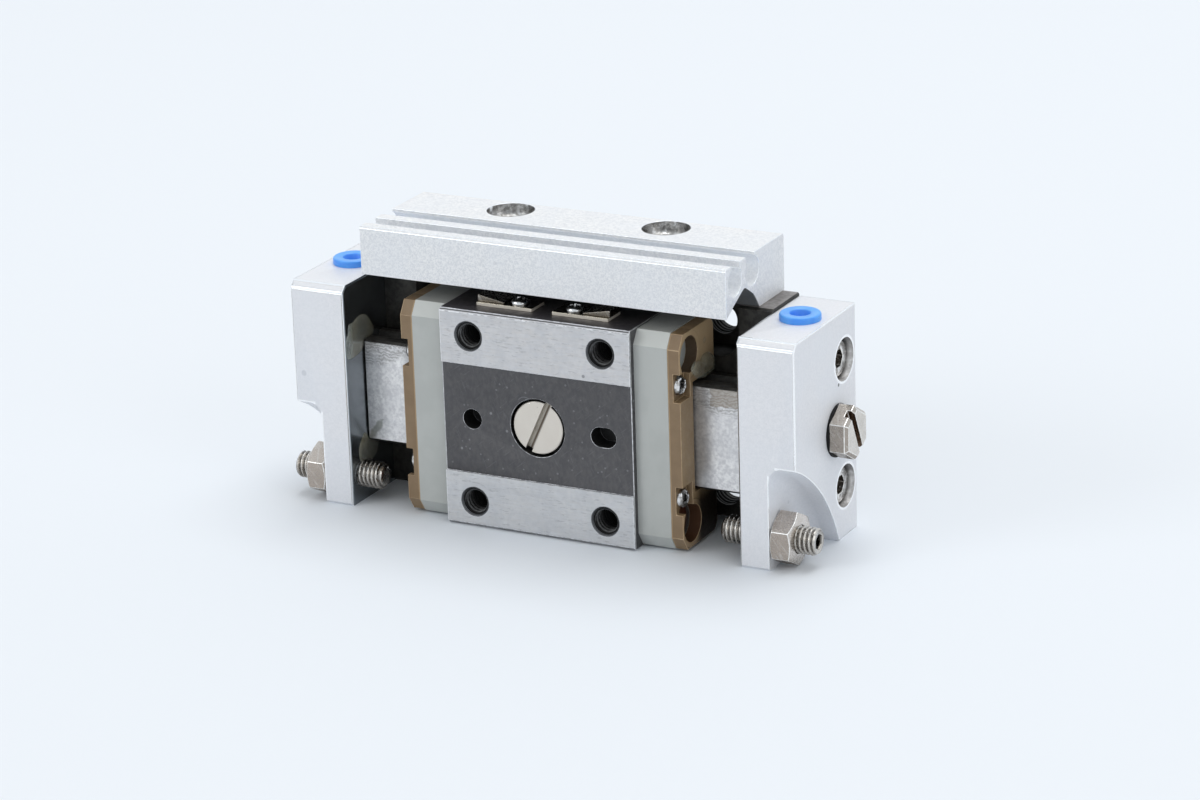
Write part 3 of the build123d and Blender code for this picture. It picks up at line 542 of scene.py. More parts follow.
def table_steel():
    """Ground lands with fine lines along the stroke, and a dark hardened skin elsewhere."""
    finish = Finish("table_steel", tone(200, 206, 212), 0.4, 0.6)
    tree, x, y, z = finish.tree, finish.x, finish.y, finish.z
    mottle = finish.grain(1300.0)
    lines = finish.streaks((420.0, 300.0, 3400.0))
    dashes = finish.streaks((700.0, 300.0, 3300.0))
    land = finish.over(
        mixed(tree, span(tree, z, 4.0, 28.0), tone(205, 205, 205), tone(205, 203, 202)),
        (lines[0], 0.34, tone(220, 223, 228)),
        (finish.noise(300.0, 3.0), 0.2, tone(182, 186, 193)),
        (mottle[0], 0.25, tone(180, 184, 191)),
        (span(tree, dashes[0], 0.86, 1.0), 0.32, tone(132, 133, 137)),
        (finish.marks(520.0, 0.13, 0.06), 0.6, tone(104, 105, 108)))

    # The dark skin: hairs, specks, a round scuff, the top face, and the shaded dowel hole, slot and pin hole
    upright = finish.streaks((1700.0, 300.0, 900.0))
    hairs = finish.streaks((330.0, 300.0, 3800.0), (0.0, 38.0, 0.0))
    other_hairs = finish.streaks((3800.0, 300.0, 360.0), (0.0, 24.0, 0.0))
    from_scuff = finish.distance(x, z, (-1.9, 19.6))
    scuff = finish.both(finish.above(from_scuff, 1.15), finish.below(from_scuff, 1.27), finish.above(z, 20.3))
    from_slot = finish.either(finish.minus(finish.gap(x, table_hole[0]), 0.5), 0.0)
    hollow = finish.either(finish.near_axis(x, z, (-table_hole[0], axis_height), 1.56),
                           finish.near_axis(from_slot, z, (0.0, axis_height), 1.56),
                           finish.near_axis(x, z, (0.0, axis_height), 4.6))
    hollow = finish.both(hollow, finish.above(y, table_front + 0.45))
    skin = finish.over(
        mixed(tree, upright[0], tone(84, 83, 85), tone(92, 91, 92)),
        (mottle[0], 0.3, tone(78, 78, 82)),
        (span(tree, hairs[0], 0.94, 1.0), 0.16, tone(136, 137, 140)),
        (span(tree, other_hairs[0], 0.95, 1.0), 0.14, tone(134, 135, 138)),
        (finish.marks(1700.0, 0.27, 0.06), 0.36, tone(146, 147, 150)),
        (finish.marks(800.0, 0.16, 0.07), 0.45, tone(160, 161, 164)),
        (scuff, 0.5, tone(136, 138, 142)),
        (finish.above(z, table_top - 0.05), 0.85, tone(78, 75, 79)),
        (hollow, 0.95, tone(14, 14, 14)))

    ground = finish.below(y, table_front + land_recess / 2)
    # Painted shade in the mouths of the tapped holes
    painted_shade_at_mouths = finish.near_axis(finish.size_of(x), finish.gap(z, axis_height), table_hole, mouth_radius)
    painted_shade_at_mouths = finish.both(painted_shade_at_mouths, finish.above(y, table_front + 0.02))
    # Painted highlight: edge lines near-white, broken by the mottle as wear
    worn_highlight = finish.edges(0.16, finish.gap(x, table_left, table_right), finish.gap(z, table_foot, table_top),
                        finish.gap(y, table_front, table_front + land_recess))
    worn_highlight = finish.both(worn_highlight, finish.swing(mottle[0], 0.6, 1.0))
    finish.set("Base Color", finish.over(
        mixed(tree, ground, skin, land), (painted_shade_at_mouths, 0.9, tone(66, 68, 71)), (worn_highlight, 0.85, tone(246, 247, 250))))
    finish.set("Metallic", finish.swing(finish.rest(hollow), 0.0, 0.6))
    finish.set("Roughness", finish.swing(mottle[0], 0.38, 0.5))
    finish.bump(mixed(tree, ground, upright[1], lines[1]), 0.25, 0.01)
    return finish.material


def rail_steel():
    """Dark scaled steel, with the raised rail's front milled bright, marked by the cutter and smeared, and
    painted shade along its middle beneath the table and at its left end.
    """
    finish = Finish("rail_steel", tone(60, 59, 57), 0.5, 0.7)
    tree, x, z = finish.tree, finish.x, finish.z
    milled = finish.grain(2100.0)
    cloud = finish.noise(300.0, 4.0, 0.38, 0.62)
    inputs = {"Vector": finish.place, "Scale": 620.0, "Distortion": 11.0, "Detail": 3.0, "Detail Scale": 1.6}
    waves = wire(tree, "ShaderNodeTexWave", inputs, wave_type="RINGS").outputs["Fac"]
    ragged_z = finish.plus(z, finish.times(cloud, 2.4))
    blotches = finish.both(span(tree, ragged_z, 21.6, 23.4), waves)
    smear = finish.both(finish.above(ragged_z, 23.6), finish.above(x, 24.6))
    # Painted shade on the rail's front: darker along the middle beneath the table, and at the left end
    painted_shade_under_table = finish.rest(span(tree, finish.size_of(x), 23.8, 25.4))
    painted_shade_at_left_end = span(tree, finish.times(x, -1.0), 29.2, 31.0)
    leaning = finish.plus(finish.times(x, 0.8), finish.times(z, -0.6))
    film = finish.plus(finish.size_of(finish.plus(leaning, 30.2)), finish.times(cloud, 0.5))
    film = finish.both(finish.rest(span(tree, film, 0.35, 0.8)),
                       finish.below(z, 12.2), finish.below(x, -28.0))
    bright = finish.over(
        mixed(tree, milled[0], tone(212, 211, 212), tone(243, 242, 241)),
        (cloud, 0.35, tone(196, 196, 199)),
        (blotches, 0.6, tone(132, 128, 124)),
        (smear, 0.6, tone(146, 134, 118)),
        (painted_shade_under_table, 0.45, tone(128, 128, 130)),
        (painted_shade_at_left_end, 0.15, tone(140, 141, 143)),
        (film, 0.6, tone(120, 122, 110)))
    scale = finish.grain(1400.0)
    upper_edge = finish.above(z, base_top - 0.05)
    dark = finish.over(
        mixed(tree, scale[0], tone(48, 47, 45), tone(66, 65, 62)),
        (finish.noise(260.0, 4.0, 0.4, 0.7), 0.18, tone(80, 75, 66)),
        (upper_edge, 0.85, mixed(tree, scale[0], tone(132, 127, 125), tone(158, 154, 151))))
    front = finish.below(finish.y, rail_front + 0.06)
    finish.set("Base Color", mixed(tree, front, dark, bright))
    finish.set("Metallic", finish.swing(front, 0.6, 0.8))
    finish.set("Roughness", finish.swing(front, 0.5, 0.36))
    finish.bump(mixed(tree, front, scale[1], waves), 0.2, 0.015)
    return finish.material


def nickel(name, light, end_light, roughness, driver=False):
    """Warm nickel plating with fine wear. Faces square to X have painted light, and faces that look down
    painted shade. Thread roots and sockets are painted dark as shade, and with a driver slot, its walls are
    brown."""
    finish = Finish(name, light, roughness, 1.0)
    tree = finish.tree
    cloud = finish.noise(420.0, 3.0, 0.36, 0.66)
    fine = finish.grain(3800.0)
    scratches = finish.streaks((2200.0, 300.0, 260.0), (20.0, 35.0, 10.0))
    normal = finish.facing()
    # Painted light on faces square to X, painted shade on faces that look down
    painted_light_on_end_faces = span(tree, finish.size_of(normal[0]), 0.75, 0.98)
    shaded = mixed(tree, span(tree, normal[2], -0.6, 0.7), tone(138, 128, 118), tone(206, 199, 190))
    colour = finish.over(
        mixed(tree, painted_light_on_end_faces, mixed(tree, 0.45, light, shaded), end_light),
        (cloud, 0.16, tone(132, 125, 117)),
        (span(tree, scratches[0], 0.8, 1.0), 0.3, tone(228, 225, 220)),
        # Painted shade in thread roots, sockets and drives
        (finish.recess(), 0.93, tone(40, 34, 28)))
    if driver:
        plug_end = box_of("port_plug_right")[1][0]
        centre = middle("port_plug_right")
        across = finish.across_slot(finish.y, finish.z, centre[1:], turn=25.0)
        from_middle = finish.size_of(finish.x)
        slot_walls = finish.both(finish.below(finish.size_of(across), 0.615),
                                 finish.below(from_middle, plug_end - 0.16),
                                 finish.above(from_middle, plug_end - 1.15))
        colour = finish.over(colour, (slot_walls, 0.85, tone(112, 88, 68)))
    finish.set("Base Color", colour)
    finish.set("Roughness", finish.swing(fine[0], roughness - 0.05, roughness + 0.1))
    finish.bump(fine[1], 0.12, 0.01)
    return finish.material


def stamped_steel():
    """Plated sheet of the magnet plates: bright cut edges, painted as a highlight, and darker, browner faces,
    painted as shade.
    """
    finish = Finish("stamped_steel", tone(104, 96, 84), 0.2, 1.0)
    cloud = finish.noise(500.0, 3.0, 0.4, 0.62)
    # Painted highlight on the sides, painted shade on the faces
    side = span(finish.tree, finish.size_of(finish.facing()[2]), 0.7, 0.3)
    face = mixed(finish.tree, cloud, tone(108, 100, 88), tone(78, 71, 62))
    finish.set("Base Color", finish.over(face, (side, 0.95, tone(248, 242, 230))))
    finish.set("Metallic", finish.swing(side, 1.0, 0.35))
    return finish.material


def turned_nickel():
    """Nickel-plated pin head, with rings left by the lathe round its own axis and a slot across it, with
    painted shade along the slot's floor and on the head's side.
    """
    finish = Finish("turned_nickel", tone(214, 208, 199), 0.34, 0.75)
    tree = finish.tree
    pin_axis = (0.0, axis_height)
    out = finish.distance(finish.x, finish.z, pin_axis)
    ring_pitch = 0.22
    rings = calc(tree, "SINE", finish.times(out, AROUND / ring_pitch))
    face = finish.over(
        mixed(tree, span(tree, rings, -1.0, 1.0, 0.0, 0.2), tone(216, 209, 199), tone(204, 197, 186)),
        (finish.noise(380.0, 4.0, 0.4, 0.66), 0.25, tone(222, 216, 207)),
        (finish.marks(1200.0, 0.14, 0.08), 0.35, tone(160, 156, 150)))
    across = finish.across_slot(finish.x, finish.z, pin_axis, turn=-25.0)
    # Painted shade: a dark line along the slot's floor
    slot_floor = mixed(tree, span(tree, across, -0.3, -0.12), tone(196, 190, 180), tone(104, 92, 80))
    slot_floor = mixed(tree, span(tree, across, 0.0, 0.2), slot_floor, tone(190, 184, 175))
    deep = finish.above(finish.y, box_of("drive_pin")[0][1] + 0.12)
    # Painted shade: the head's side nearly black
    side = finish.both(deep, finish.above(out, 3.85))
    face = finish.over(mixed(tree, deep, face, slot_floor), (side, 0.9, tone(24, 22, 20)))
    finish.set("Base Color", face)
    finish.bump(rings, 0.1, 0.01)
    return finish.material


def bright_plating():
    """Bright zinc plating of the small screws, with painted shade in the drives and sockets, between the
    knurls and on each end-block screw head's outer band.
    """
    finish = Finish("bright_plating", tone(206, 205, 203), 0.2, 1.0)
    tree = finish.tree
    cloud = finish.noise(1300.0, 3.0, 0.42, 0.6)
    from_middle = finish.size_of(finish.x)
    low, high = (screw[1] for screw in block_screws)
    from_level = finish.gap(finish.z, (low + high) / 2)
    screw_y, half_apart = block_screws[0][0], (high - low) / 2
    from_screw = finish.distance(finish.y, from_level, (screw_y, half_apart))
    on_block = finish.above(from_middle, 36.2)
    painted_shade_round_heads = finish.both(finish.above(from_screw, 2.0), on_block)
    turn = calc(tree, "ARCTAN2", finish.minus(finish.y, screw_y), finish.minus(from_level, half_apart))
    knurls = span(tree, calc(tree, "SINE", finish.times(turn, 36.0)), -0.3, 0.5)
    painted_shade_in_knurls = finish.both(finish.above(from_screw, 2.35), on_block, knurls)
    sockets = finish.both(finish.below(from_screw, 1.42), finish.below(from_middle, 39.0), on_block)
    painted_shade_in_top_sockets = finish.both(finish.near_axis(from_middle, finish.y, switch_screw, 1.4),
                              finish.above(finish.z, under_seats))
    # Painted shade on the head's outer band, in the knurls, sockets and drives
    finish.set("Base Color", finish.over(
        mixed(tree, cloud, tone(220, 219, 218), tone(150, 147, 143)),
        (painted_shade_round_heads, 0.45, tone(104, 99, 94)),
        (painted_shade_in_knurls, 0.85, tone(58, 54, 50)),
        (sockets, 0.6, tone(88, 74, 62)),
        (painted_shade_in_top_sockets, 0.35, tone(70, 66, 62)),
        (finish.recess(), 0.9, tone(46, 42, 38))))
    finish.set("Roughness", finish.swing(cloud, 0.14, 0.3))
    return finish.material


def moulded_plastic(name, light, shade, roughness, cloud_scale=260.0):
    """Moulded plastic: two close shades in soft clouds, fine moulding grain and a satin surface."""
    finish = Finish(name, light, roughness)
    cloud = finish.noise(cloud_scale, 3.0, 0.36, 0.66)
    fine = finish.grain(3400.0)
    flow = finish.streaks((260.0, 260.0, 60.0))
    finish.set("Base Color", finish.over(mixed(finish.tree, cloud, light, shade), (flow[0], 0.3, shade)))
    finish.set("Roughness", finish.swing(fine[0], roughness - 0.06, roughness + 0.08))
    finish.bump(fine[1], 0.2, 0.012)
    return finish


def cap_plastic():
    """Grey-green plastic of the return caps, with painted light on slopes that face up, and painted shade,
    tinted red-brown, behind the lower stop openings.
    """
    finish = moulded_plastic("grey_plastic", tone(181, 185, 183), tone(175, 179, 177), 0.42)
    up = finish.facing()[2]
    # Painted light on slopes that face up
    slope = finish.both(span(finish.tree, up, 0.25, 0.5), finish.rest(span(finish.tree, up, 0.8, 0.95)))
    # Painted shade, tinted red-brown like the stop pads, behind the lower stop openings
    painted_shade_behind_stop = finish.both(finish.near_axis(finish.y, finish.z, low_stop, 2.9),
                        finish.above(finish.size_of(finish.x), 17.0))
    finish.set("Base Color", finish.over(
        finish.colour(), (slope, 0.5, tone(210, 215, 213)), (painted_shade_behind_stop, 0.9, tone(52, 34, 24))))
    return finish.material


def end_plate_plastic():
    """Tan plastic of the end plates: a paler lip round each stop opening, an ejector mark, painted shade in
    the hollows and low at the back of the outer face, and painted light high on it.
    """
    finish = moulded_plastic("tan_plastic", tone(162, 138, 106), tone(152, 128, 97), 0.44, 420.0)
    tree, y, z = finish.tree, finish.y, finish.z
    from_middle = finish.size_of(finish.x)
    outer = finish.above(from_middle, plate_face - 0.08)
    colour = finish.colour()
    for stop, shade in ((low_stop, tone(70, 38, 22)), (high_stop, tone(62, 46, 32))):
        from_axis = finish.distance(y, z, stop)
        lip = finish.both(finish.above(from_axis, 2.95), finish.below(from_axis, 3.45), outer)
        rim = finish.both(finish.above(from_axis, 3.45), finish.below(from_axis, 3.62), outer)
        # Painted shade on the openings' walls, red-brown in the low one
        inside = finish.both(finish.below(from_axis, 2.8), finish.rest(outer))
        colour = finish.over(
            colour, (lip, 0.4, tone(172, 150, 122)), (rim, 0.5, tone(86, 70, 54)), (inside, 0.9, shade))
    # Painted light high on the outer face, and painted shade low towards its back
    high = finish.both(span(tree, z, 25.5, 28.5), outer)
    painted_shade_low_back = finish.both(span(tree, z, 9.5, 6.0), span(tree, y, -5.8, -3.6), outer)
    from_mark = finish.distance(y, z, (-1.53, 29.55))
    # Painted shade in the pocket
    pocket = finish.both(finish.rest(outer), finish.above(from_middle, plate_inner + 0.2),
                         finish.below(y, -5.5), finish.above(y, -10.1))
    finish.set("Base Color", finish.over(
        colour,
        (high, 0.65, tone(206, 180, 142)),
        (painted_shade_low_back, 0.97, tone(27, 20, 17)),
        (finish.both(finish.below(from_mark, 0.5), outer), 0.35, tone(150, 134, 112)),
        (finish.both(finish.below(from_mark, 0.24), outer), 0.4, tone(190, 178, 160)),
        (pocket, 0.45, tone(78, 58, 38))))
    return finish.material


def soft_blue_plastic():
    """Soft translucent blue plastic of the dust plugs, with painted light on its top."""
    finish = Finish("blue_plastic", tone(98, 168, 250), 0.4)
    cloud = finish.noise(420.0, 2.0, 0.4, 0.62)
    # Painted light: paler on top
    top = finish.above(finish.z, block_top + 0.9)
    colour = mixed(finish.tree, cloud, tone(74, 154, 252), tone(88, 167, 254))
    finish.set("Base Color", finish.over(colour, (top, 0.5, tone(118, 186, 254))))
    finish.set("Subsurface Weight", 0.2)
    finish.set("Subsurface Radius", (0.4, 0.7, 1.0))
    finish.set("Subsurface Scale", 0.6 * MM)
    finish.bump(finish.grain(2600.0)[1], 0.15, 0.012)
    return finish.material


def black_rubber():
    """Dull black rubber of the seals and wipers."""
    finish = Finish("black_rubber", tone(30, 29, 28), 0.6)
    fine = finish.grain(3600.0)
    finish.set("Base Color", mixed(finish.tree, fine[0], tone(12, 12, 13), tone(24, 24, 25)))
    finish.set("Specular IOR Level", 0.2)
    finish.bump(fine[1], 0.4, 0.02)
    return finish.material


def dark_thread():
    """Steel of a tapped hole's wall: crests a little brighter, roots and depths painted black as shade."""
    finish = Finish("dark_thread", tone(96, 97, 98), 0.45, 0.3)
    fine = finish.grain(3000.0)
    colour = mixed(finish.tree, fine[0], tone(98, 99, 100), tone(130, 131, 132))
    finish.set("Base Color", finish.over(colour, (finish.recess(), 0.98, tone(8, 8, 8))))
    finish.set("Specular IOR Level", 0.12)
    finish.set("Metallic", finish.swing(finish.recess(), 0.5, 0.0))
    return finish.material


def grease():
    """Greenish grease, half clear, thinner where it is pale, and paler at the left block's front edge."""
    finish = Finish("grease", tone(132, 140, 126), 0.1)
    cloud = finish.noise(300.0, 3.0, 0.36, 0.64)
    colour = mixed(finish.tree, cloud, tone(198, 200, 188), tone(156, 154, 134))
    at_edge = finish.both(span(finish.tree, finish.y, -7.6, -9.6), finish.below(finish.x, -30.0))
    finish.set("Base Color", finish.over(colour, (at_edge, 0.8, tone(198, 208, 204))))
    finish.set("Alpha", finish.swing(cloud, 0.24, 0.5))
    finish.bump(cloud, 0.14, 0.1)
    return finish.material


def bright_edge(name, colour, worn_highlight, roughness, metallic):
    """Finish of a rounded edge: a paler colour painted as a highlight where the light catches, over a thin
    skin, broken by fine wear.
    """
    finish = Finish(name, colour, roughness, metallic)
    finish.set("Base Color", mixed(finish.tree, finish.noise(1600.0, 3.0, 0.4, 0.62), colour, worn_highlight))
    return finish.material


def ground_edge():
    """Edges of the guide block painted bright as a highlight, broken by wear, with painted shade where they
    round the tapped holes' mouths and on the edges behind the front.
    """
    finish = Finish("ground_edge", tone(226, 228, 232), 0.3, 0.5)
    wear = finish.noise(1600.0, 3.0, 0.4, 0.62)
    painted_shade_at_mouths = finish.near_axis(finish.size_of(finish.x), finish.gap(finish.z, axis_height),
                             table_hole, mouth_radius)
    finish.set("Base Color", finish.over(
        mixed(finish.tree, wear, tone(232, 234, 238), tone(150, 152, 156)),
        (painted_shade_at_mouths, 0.85, tone(70, 72, 75)),
        (finish.above(finish.y, table_front + 0.6), 0.85, tone(40, 40, 42))))
    return finish.material


SILVER = silver_anodising("silver_anodising", 0.075, tone(252, 252, 255))
SPECKLED_SILVER = silver_anodising("speckled_anodising", 0.21, tone(254, 255, 255))
TABLE_STEEL = table_steel()
RAIL_STEEL = rail_steel()
NICKEL = nickel("warm_nickel", tone(191, 177, 166), tone(218, 211, 204), 0.25)
THREAD_NICKEL = nickel("thread_nickel", tone(212, 208, 202), tone(212, 208, 202), 0.24)
PLUG_NICKEL = nickel("plug_nickel", tone(170, 160, 150), tone(220, 215, 208), 0.27, driver=True)
PIN_NICKEL = turned_nickel()
PLATING = bright_plating()
GREY = cap_plastic()
TAN = end_plate_plastic()
BLUE = soft_blue_plastic()
RUBBER = black_rubber()
URETHANE = moulded_plastic("stop_urethane", tone(82, 40, 20), tone(58, 28, 16), 0.4).material
THREAD_STEEL = dark_thread()
PLATE_STEEL = stamped_steel()
MAGNET = nickel("magnet_plating", tone(112, 104, 86), tone(112, 104, 86), 0.24)
BALL_STEEL = nickel("ball_steel", tone(205, 205, 206), tone(205, 205, 206), 0.12)
PISTON_METAL = nickel("turned_aluminium", tone(196, 197, 199), tone(196, 197, 199), 0.3)
GREASE = grease()
# Edge finishes: paler colours painted on the rounded edges as highlights, with some wear
SILVER_EDGE = bright_edge("silver_edge", tone(255, 255, 255), tone(250, 252, 255), 0.26, 1.0)
TABLE_EDGE = ground_edge()
RAIL_EDGE = bright_edge("milled_edge", tone(150, 140, 128), tone(84, 78, 70), 0.35, 0.7)
NICKEL_EDGE = bright_edge("nickel_edge", tone(250, 247, 242), tone(226, 222, 216), 0.18, 1.0)
GREY_EDGE = bright_edge("grey_edge", tone(198, 205, 205), tone(186, 193, 193), 0.4, 0.0)
TAN_EDGE = bright_edge("tan_edge", tone(184, 160, 128), tone(166, 142, 110), 0.4, 0.0)
PLATE_EDGE = bright_edge("stamped_edge", tone(240, 232, 212), tone(206, 196, 174), 0.2, 0.9)


# Solids with rounded edges

ROOT, TABLE = "rail_and_blocks", "table"
SIDES = ((1, "right"), (-1, "left"))
for _, side in SIDES:
    for kind, edge, material, edge_material, body, slot in (
            ("end_block_", 0.18, SILVER, SILVER_EDGE, ROOT, "anodised_aluminium"),
            ("return_cap_", 0.14, GREY, GREY_EDGE, TABLE, "grey_plastic"),
            ("end_plate_", 0.12, TAN, TAN_EDGE, TABLE, "tan_plastic"),
            ("port_plug_", 0.08, PLUG_NICKEL, NICKEL_EDGE, ROOT, "nickel"),
            ("lock_nut_", 0.12, NICKEL, NICKEL_EDGE, "lock_nut_" + side, "nickel")):
        softened(kind + side, edge, material, edge_material, body)

for node, edge, material, edge_material, body, slot in (
        ("switch_rail", 0.12, SPECKLED_SILVER, SILVER_EDGE, ROOT, "anodised_aluminium"),
        ("guide_rail", 0.1, RAIL_STEEL, RAIL_EDGE, ROOT, "rail_steel"),
        ("guide_block", 0.07, TABLE_STEEL, TABLE_EDGE, TABLE, "table_steel"),
        ("drive_pin", 0.06, PIN_NICKEL, NICKEL_EDGE, TABLE, "drive_pin_nickel"),
        ("magnet_plates", 0.06, PLATE_STEEL, PLATE_EDGE, TABLE, "magnet_plate_steel"),
        ("magnets", 0.06, MAGNET, None, TABLE, "magnet_metal"),
        ("end_block_screws", 0.1, PLATING, NICKEL_EDGE, ROOT, "screw_steel"),
        ("switch_rail_screws", 0.1, PLATING, NICKEL_EDGE, ROOT, "screw_steel")):
    softened(node, edge, material, edge_material, body)

for node, material in (
        ("bore_seal_rings", RUBBER), ("port_gaskets", RUBBER), ("wiper_right", RUBBER),
        ("wiper_left", RUBBER), ("piston_seals", RUBBER), ("stop_pads", URETHANE),
        ("upper_balls", BALL_STEEL), ("lower_balls", BALL_STEEL), ("piston", PISTON_METAL)):
    nodes[node].data.materials.clear()
    nodes[node].data.materials.append(material)


# Threaded adjusters

def adjuster_points(length, pitch=0.7, crest=2.0, root=1.62, columns=60, steps=9):
    """A set screw along its axis from its tip: a pole, a chamfered tip, a helical thread whose radius is
    a wave of the height less the turn, a chamfered end and a hexagonal socket with a pointed floor.
    Returns its points and its recess marks of painted shade: thread roots and the socket."""
    height = np.linspace(0, length, int(length / pitch * steps))
    turn = np.arange(columns) / columns
    wave = thread_wave(height[:, None] / pitch - turn[None, :])
    tip_cone = 1.4 + height
    end_cone = 1.7 + (length - height) * 0.8
    radius = np.minimum(root + (crest - root) * wave, np.minimum(tip_cone, end_cone)[:, None])
    # Painted shade in the thread roots
    painted_root_shade = (1 - smooth_step(0.0, 0.75, wave)) * 0.75
    socket = hexagon(2.0, columns)
    open_metal, painted_socket_shade = np.zeros(columns), np.ones(columns)
    rows = [(0, 0 * socket, open_metal), (0, 0 * socket + 0.9, open_metal)]
    rows += list(zip(height, radius, painted_root_shade))
    rows += [(length, socket + 0.12, open_metal), (length - 0.12, socket, painted_socket_shade * 0.6),
             (length - 0.7, socket, painted_socket_shade), (length - 2.5, socket, painted_socket_shade),
             (length - 2.9, 0 * socket, painted_socket_shade)]
    along, out, recess = zip(*rows)
    return turned(along, np.stack(out), columns), np.stack(recess)


for side, name in SIDES:
    (low_x, _, _), (high_x, _, _) = box_of("adjuster_" + name)
    tip = (low_x if side > 0 else high_x, *middle("adjuster_" + name)[1:])
    points, recess = adjuster_points(high_x - low_x)
    mesh = mesh_of("adjuster_thread_" + name, [placed(points, tip, (side, 0, 0))], recess=recess)
    finish_piece("threaded_adjuster_" + name, mesh, THREAD_NICKEL, "adjuster_" + name,
                 ("adjuster_" + name,), 50.0)


# Tapped holes

def tapped_wall(depth, major, minor, pitch, start=0.3, dark_at=3.0, columns=64, steps=12):
    """The thread inside a hole, a closed sleeve: its inner wall waves between two radii along a helix,
    fading out at both ends, and its outer wall lies just inside the metal.
    Returns its points and its recess marks, which grow towards the roots and with the depth."""
    height = np.linspace(start, depth, int((depth - start) / pitch * steps))
    turn = np.arange(columns) / columns
    fade = smooth_step(start, start + 0.2, height) * (1 - smooth_step(depth - 0.4, depth, height))
    wave = thread_wave(height[:, None] / pitch + turn[None, :]) * fade[:, None]
    inner = major - (major - minor) * wave
    back = np.full((1, columns), major + 0.04)
    rows = np.concatenate([back, inner, back])
    along = np.concatenate([[start], height, [depth]])
    # Painted shade that grows with the depth
    deep = smooth_step(start + 0.4, dark_at, height)[:, None]
    recess = np.maximum(1 - smooth_step(0.5, 0.95, wave), deep)
    closed = np.ones((1, columns))
    return turned(-along, rows, columns), np.concatenate([closed, recess, closed])


points, recess = tapped_wall(depth=6.6, major=2.01, minor=1.66, pitch=0.7)
hole_x, hole_rise = table_hole
table_holes = [placed(points, (x, table_front, axis_height + rise), (0, -1, 0))
               for x in (-hole_x, hole_x) for rise in (-hole_rise, hole_rise)]
mesh = mesh_of("table_hole_threads", table_holes, wrap_rows=True, recess=recess)
finish_piece("table_hole_threads", mesh, THREAD_STEEL, TABLE, crease=60.0)

mounting_hole_x, mounting_hole_heights = 21.0, (3.9, 29.9)
points, recess = tapped_wall(depth=3.4, major=2.21, minor=2.03, pitch=0.8, start=0.2, dark_at=9.0)
# Painted shade: the mounting holes' threads dark all through
dark_recess = 0.86 + 0.14 * recess
rail_holes = [placed(points, (side * mounting_hole_x, rail_back, z), (0, 1, 0))
              for side in (-1, 1) for z in mounting_hole_heights]
mesh = mesh_of("mounting_hole_threads", rail_holes, wrap_rows=True, recess=dark_recess)
finish_piece("mounting_hole_threads", mesh, THREAD_STEEL, ROOT, crease=60.0)


# Cross-head screws

def cross_head_points(radius, height, shank, length, columns=72, rings=26):
    """A screw from its head's middle outwards: a dome, sunk by a cross whose depth falls off
    smoothly past its arms' width and length, then the rim, the flat underside, the shank and its end.
    Returns its points and its recess marks, deep in the cross."""
    share = np.linspace(0, 1, rings)
    out = radius * share[:, None] * np.ones(columns)
    angle = np.linspace(0, AROUND, columns, endpoint=False)
    x, y = out * np.cos(angle), out * np.sin(angle)
    dome = height * (1 - (share * 0.985) ** 2.6)[:, None] ** 0.5 * np.ones(columns)
    arms = 0
    for along, across in ((np.abs(x), np.abs(y)), (np.abs(y), np.abs(x))):
        width = radius * 0.20 * (1 - along / radius * 0.5)
        within = 1 - smooth_step(0.55, 1.0, across / width / 1.3)
        arms = np.maximum(arms, within * (1 - smooth_step(0.5, 0.66, along / radius)))
    head = np.stack([x, y, dome - arms * height * 0.75], axis=-1)
    tail = turned([0, 0, -length, -length], [radius * 0.985, shank, shank, 0], columns)
    recess = np.concatenate([smooth_step(0.15, 0.7, arms), np.zeros((4, columns))])
    return np.concatenate([head, tail]), recess


def spun(points, angle):
    """Turns points about their own third direction."""
    c, s = math.cos(angle), math.sin(angle)
    return points @ np.array([[c, s, 0], [-s, c, 0], [0, 0, 1]])


plate_screw_x, plate_screw_y = 21.15, block_front + 2.4
points, recess = cross_head_points(radius=1.45, height=0.95, shank=0.8, length=10.4)
plate_screws = [placed(spun(points, angle), (side * plate_screw_x, plate_screw_y, z), (side, 0, 0))
                for side in (-1, 1) for z, angle in ((8.05, 0.35), (24.75, 1.1))]
finish_piece("cross_head_plate_screws", mesh_of("plate_screws", plate_screws, recess=recess), PLATING,
             TABLE, ("end_plate_screws",), 50.0)

magnet_screw_x, magnet_screw_y = 4.4, block_front + 4.1
sheet_top = box_of("magnet_plates")[1][2]
points, recess = cross_head_points(radius=1.3, height=0.9, shank=1.0, length=3.4)
magnet_screws = [placed(spun(points, 0.5 * side), (side * magnet_screw_x, magnet_screw_y, sheet_top),
                        (0, 0, 1), (0, 1, 0)) for side in (-1, 1)]
finish_piece("domed_magnet_screws", mesh_of("magnet_screws", magnet_screws, recess=recess * 0.6), PLATING,
             TABLE, ("magnet_plate_screws",), 50.0)


# Dust plugs

def dust_plug_points(columns=64):
    """A flanged cup as one profile: stem's end, stem, flange with a rounded rim, sunk face, cup's wall."""
    bend = np.linspace(0, math.pi / 2, 6)
    rim_out, rim_up = 2.95 - 0.32 * (1 - np.sin(bend)), 1.0 - 0.32 * (1 - np.cos(bend))
    out = [0, 2.15, 2.35, 2.35, 2.95] + rim_out[::-1].tolist() + [2.55, 1.6, 1.45, 1.4, 0]
    up = [-4, -4, -3.8, 0, 0] + rim_up[::-1].tolist() + [0.98, 0.93, 0.78, -2.4, -2.4]
    return turned(up, out, columns)


for _, name in SIDES:
    centre = middle("dust_plug_" + name)
    points = placed(dust_plug_points(), (centre[0], centre[1], block_top), (0, 0, 1), (0, 1, 0))
    finish_piece("soft_dust_plug_" + name, mesh_of("dust_plug_" + name, [points]), BLUE,
                 ROOT, ("dust_plug_" + name,), 45.0)


# Grease

